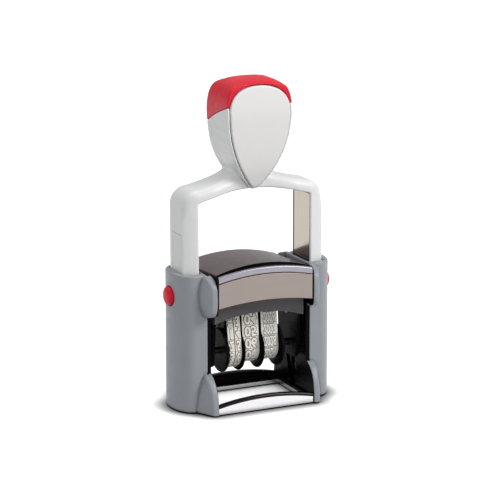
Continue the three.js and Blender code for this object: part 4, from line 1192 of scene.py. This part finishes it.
def lock_button(side):
    """The red button: a flange inside the leg, a stem and a domed face."""
    node = f"{side}_lock_button"
    low, high = sorted(abs(x) for x in span(node, X))
    flange = span(node, Z)[1] - BUTTON_HEIGHT
    radius, rim, stem = BUTTON_BORE - BUTTON_GAP, high - BUTTON_DOME, low + FLANGE_THICKNESS
    turn = np.linspace(*BUTTON_DOME_ANGLES, 16)
    dome = [(rim + BUTTON_DOME * math.sin(t), radius * math.cos(t) ** BUTTON_DOME_POWER) for t in turn]
    back = [(low, BUTTON_BACK_RADIUS), (low, flange), (stem, flange)]
    profile = [*back, (stem, radius), (rim, radius), *dome]
    turned(f"{side}_button", node, [(SIDES[side] * x, r) for x, r in profile], BUTTON_HEIGHT)


# Arched strips, cover and block
def arched_strip(node, low_rise, high_rise, radii, short=0.0, proud=0.0, lower=0.0, finish=None):
    """A strip across the stamp whose lower and upper edges are arches, with a softened front."""
    half = span(node, X)[1] - short
    low, high = span(node, Z)
    near, far = sorted(span(node, Y), key=abs, reverse=True)
    x = np.linspace(-half, half, 73)
    lows = arch_heights(x, half, low - lower, low_rise)
    highs = arch_heights(x, half, high - high_rise, high_rise)
    way = math.copysign(1, far - near)
    rings = []
    for place, bottom, top in zip(x, lows, highs):
        outline = soft_box(0, abs(far - near) + proud, bottom, top, radii)
        rings.append([(place, near + way * (y - proud), z) for y, z in outline])
    lofted(f"{node}_strip", node, rings, finish=finish)


def cover():
    """The glossy arched cover: its front edge is rolled over and painted black as shade, and its top falls
    to the rear.
    """
    half = span("top_cover", X)[1] - END_GAP
    front, rear = span("top_cover", Y)
    seat, crest = span("top_cover", Z)
    flat = half - COVER_SIDE_ROUND
    side = flat + COVER_SIDE_ROUND * np.cos(np.linspace(0, math.pi / 2, 6)[:-1])
    x = np.concatenate([[-half], -side, np.linspace(-flat, flat, 61), side[::-1], [half]])
    inward = np.clip(np.abs(x) - flat, 0, COVER_SIDE_ROUND)
    drop_at_side = COVER_SIDE_ROUND - np.sqrt(COVER_SIDE_ROUND**2 - inward**2)
    arched = arch_heights(x, half, crest - COVER_RISE, COVER_RISE) - drop_at_side
    turn = np.linspace(0.05, math.pi / 2, 14)
    flat_front = front + COVER_FRONT_ROUND
    rolled = zip(flat_front - COVER_FRONT_ROUND * np.cos(turn), COVER_FRONT_ROUND * (1 - np.sin(turn)))
    stations = [
        *rolled,
        *((y, 0) for y in np.linspace(flat_front, rear - COVER_REAR_ROUND, 12)[1:]),
        (rear - COVER_BEND_SHARE * COVER_REAR_ROUND, COVER_BEND_SHARE * COVER_REAR_ROUND),
        (rear, COVER_REAR_ROUND),
    ]
    rings = []
    for y, drop in stations:
        fall = COVER_FALL * (y - front) / (rear - front)
        top = np.maximum(arched - fall - drop, seat + COVER_LEAST_HEIGHT)
        rings.append([(-half, y, seat), *((a, y, z) for a, z in zip(x, top)), (half, y, seat)])
    made = lofted("cover_shell", "top_cover", rings)
    # The rolled front edge takes the black finish as painted shade.
    rim = front + COVER_FRONT_ROUND * COVER_SHADED_RIM_SHARE
    second_finish(made, "black_plastic", lambda centre: centre.y < rim)


def dater_block():
    """The turning block: a grey arch over black end plates."""
    made = refined("dater_frame")
    with edited(made.data) as form:
        whole = [*form.verts, *form.edges, *form.faces]
        border = (0, 0, END_PLATE_TOP * MM)
        bmesh.ops.bisect_plane(form, geom=whole, plane_co=border, plane_no=(0, 0, 1))
    sharpen(made.data, CAD_SHARP)
    second_finish(made, "black_plastic", lambda centre: centre.z < END_PLATE_TOP)


# Floor, light and camera
def stage():
    """A floor that is seen as white with a dark contact shadow, and that gives back little light."""
    bpy.ops.mesh.primitive_plane_add(size=FLOOR_SIZE)
    floor = bpy.context.object
    floor.name = "floor"
    material = bpy.data.materials.new("floor")
    graph = Graph(material)
    graph.nodes.clear()
    contact = graph.add("AmbientOcclusion", {"Distance": CONTACT_REACH})["AO"]
    shade = graph.add("Math", {0: contact, 1: CONTACT_POWER}, "POWER")[0]
    tone = graph.add("Math", {0: shade, 1: PAPER_TONE}, "MULTIPLY")[0]
    paper = graph.add("BsdfDiffuse", {"Color": tone})[0]
    distance = graph.add("VectorMath", {0: graph.add("TexCoord")["Object"]}, "LENGTH")["Value"]
    strength = graph.ranged(distance, GLOW_DISTANCES, GLOW_STRENGTHS)
    glow = graph.add("Emission", {"Strength": graph.add("Math", {0: strength, 1: shade}, "MULTIPLY")[0]})[0]
    white = graph.add("AddShader", {0: paper, 1: glow})[0]
    bounce = graph.add("BsdfDiffuse", {"Color": (BOUNCE_TONE, BOUNCE_TONE, BOUNCE_TONE, 1)})[0]
    rays = graph.add("LightPath")
    seen = graph.add("Math", {0: rays["Is Camera Ray"], 1: rays["Is Glossy Ray"]}, "MAXIMUM")[0]
    graph.add("OutputMaterial", {0: graph.add("MixShader", {0: seen, 1: bounce, 2: white})[0]})
    floor.data.materials.append(material)


def world():
    """A soft sky that lights the stamp, with plain white behind it."""
    studio = bpy.data.worlds.new("studio")
    bpy.context.scene.world = studio
    graph = Graph(studio)
    graph.nodes.clear()
    soft = graph.add("Background", {"Color": SKY_COLOUR, "Strength": SKY_STRENGTH})[0]
    white = graph.add("Background", {"Color": (1, 1, 1, 1), "Strength": 1.0})[0]
    seen = graph.add("LightPath")["Is Camera Ray"]
    graph.add("OutputWorld", {0: graph.add("MixShader", {0: seen, 1: soft, 2: white})[0]})


def aimed(name, data, place, aim):
    """A lamp or camera at a place, turned towards another one."""
    made = bpy.data.objects.new(name, data)
    made.location = Vector(place) * MM
    made.rotation_mode = "QUATERNION"
    made.rotation_quaternion = (Vector(aim) - Vector(place)).to_track_quat("-Z", "Y")
    bpy.context.scene.collection.objects.link(made)
    return made


def lamp(name, place, size, power):
    data = bpy.data.lights.new(name, "AREA")
    data.shape = "DISK"
    data.size = size * MM
    data.energy = power
    aimed(name, data, place, LAMP_AIM)


def camera():
    data = bpy.data.cameras.new("camera")
    data.lens = CAMERA_LENS
    data.sensor_width = SENSOR_WIDTH
    bpy.context.scene.camera = aimed("camera", data, CAMERA_PLACE, CAMERA_AIM)
    bpy.context.scene.view_settings.view_transform = "Standard"


camera()
stage()
world()
for row in LAMPS:
    lamp(*row)

for name, node in frame["nodes"].items():
    node.data.materials.clear()
    node.data.materials.append(FINISHES[SLOT_OF[name]])

knob_and_handle()
columns()
for side in SIDES:
    return_spring(side)
    lock_button(side)
    refined(f"{side}_cheek")
    ear_liner(side)
    for end in ENDS:
        fin_liner(side, end)
    leg_strip(side)
    refined(f"{side}_leg_insert", finish="insert_plastic")
    refined(f"{side}_foot_pad", 0.3)
    refined(f"{side}_axle_pin", finish="oiled_steel")
    refined(f"{side}_follower_pin", finish="oiled_steel")
    strip_edge(side)
for name in BAND_TEXTS:
    band(name)
    thumbwheel(name)
    nose_stem(name)
for node, width in (
    ("base_frame", 0.2), ("head_frame", SOFT_EDGE), ("pad_cartridge", 0.2), ("rear_panel", SOFT_EDGE),
    ("text_plate", 0.12), ("band_nose", SOFT_EDGE), ("wheel_axle", 0.2),
):
    refined(node, width)

for end in ENDS:
    arched_strip(f"{end}_skirt", 0, SKIRT_RISE, SKIRT_ROUNDS)
    arched_strip(
        f"{end}_lip", SKIRT_RISE, SKIRT_RISE, LIP_ROUNDS,
        proud=LIP_PROUD, lower=LIP_DROP, finish="gloss_black",
    )
arched_strip("front_window", WINDOW_LOW_RISE, WINDOW_TOP_RISE, WINDOW_ROUNDS, END_GAP)
arched_strip("front_trim", WINDOW_TOP_RISE, WINDOW_TOP_RISE, TRIM_ROUNDS, END_GAP)
cover()
refined("base_plate", 0.2, finish="dull_metal")
dater_block()
refined("ink_pad", 0.9, 4)

bpy.context.view_layer.update()
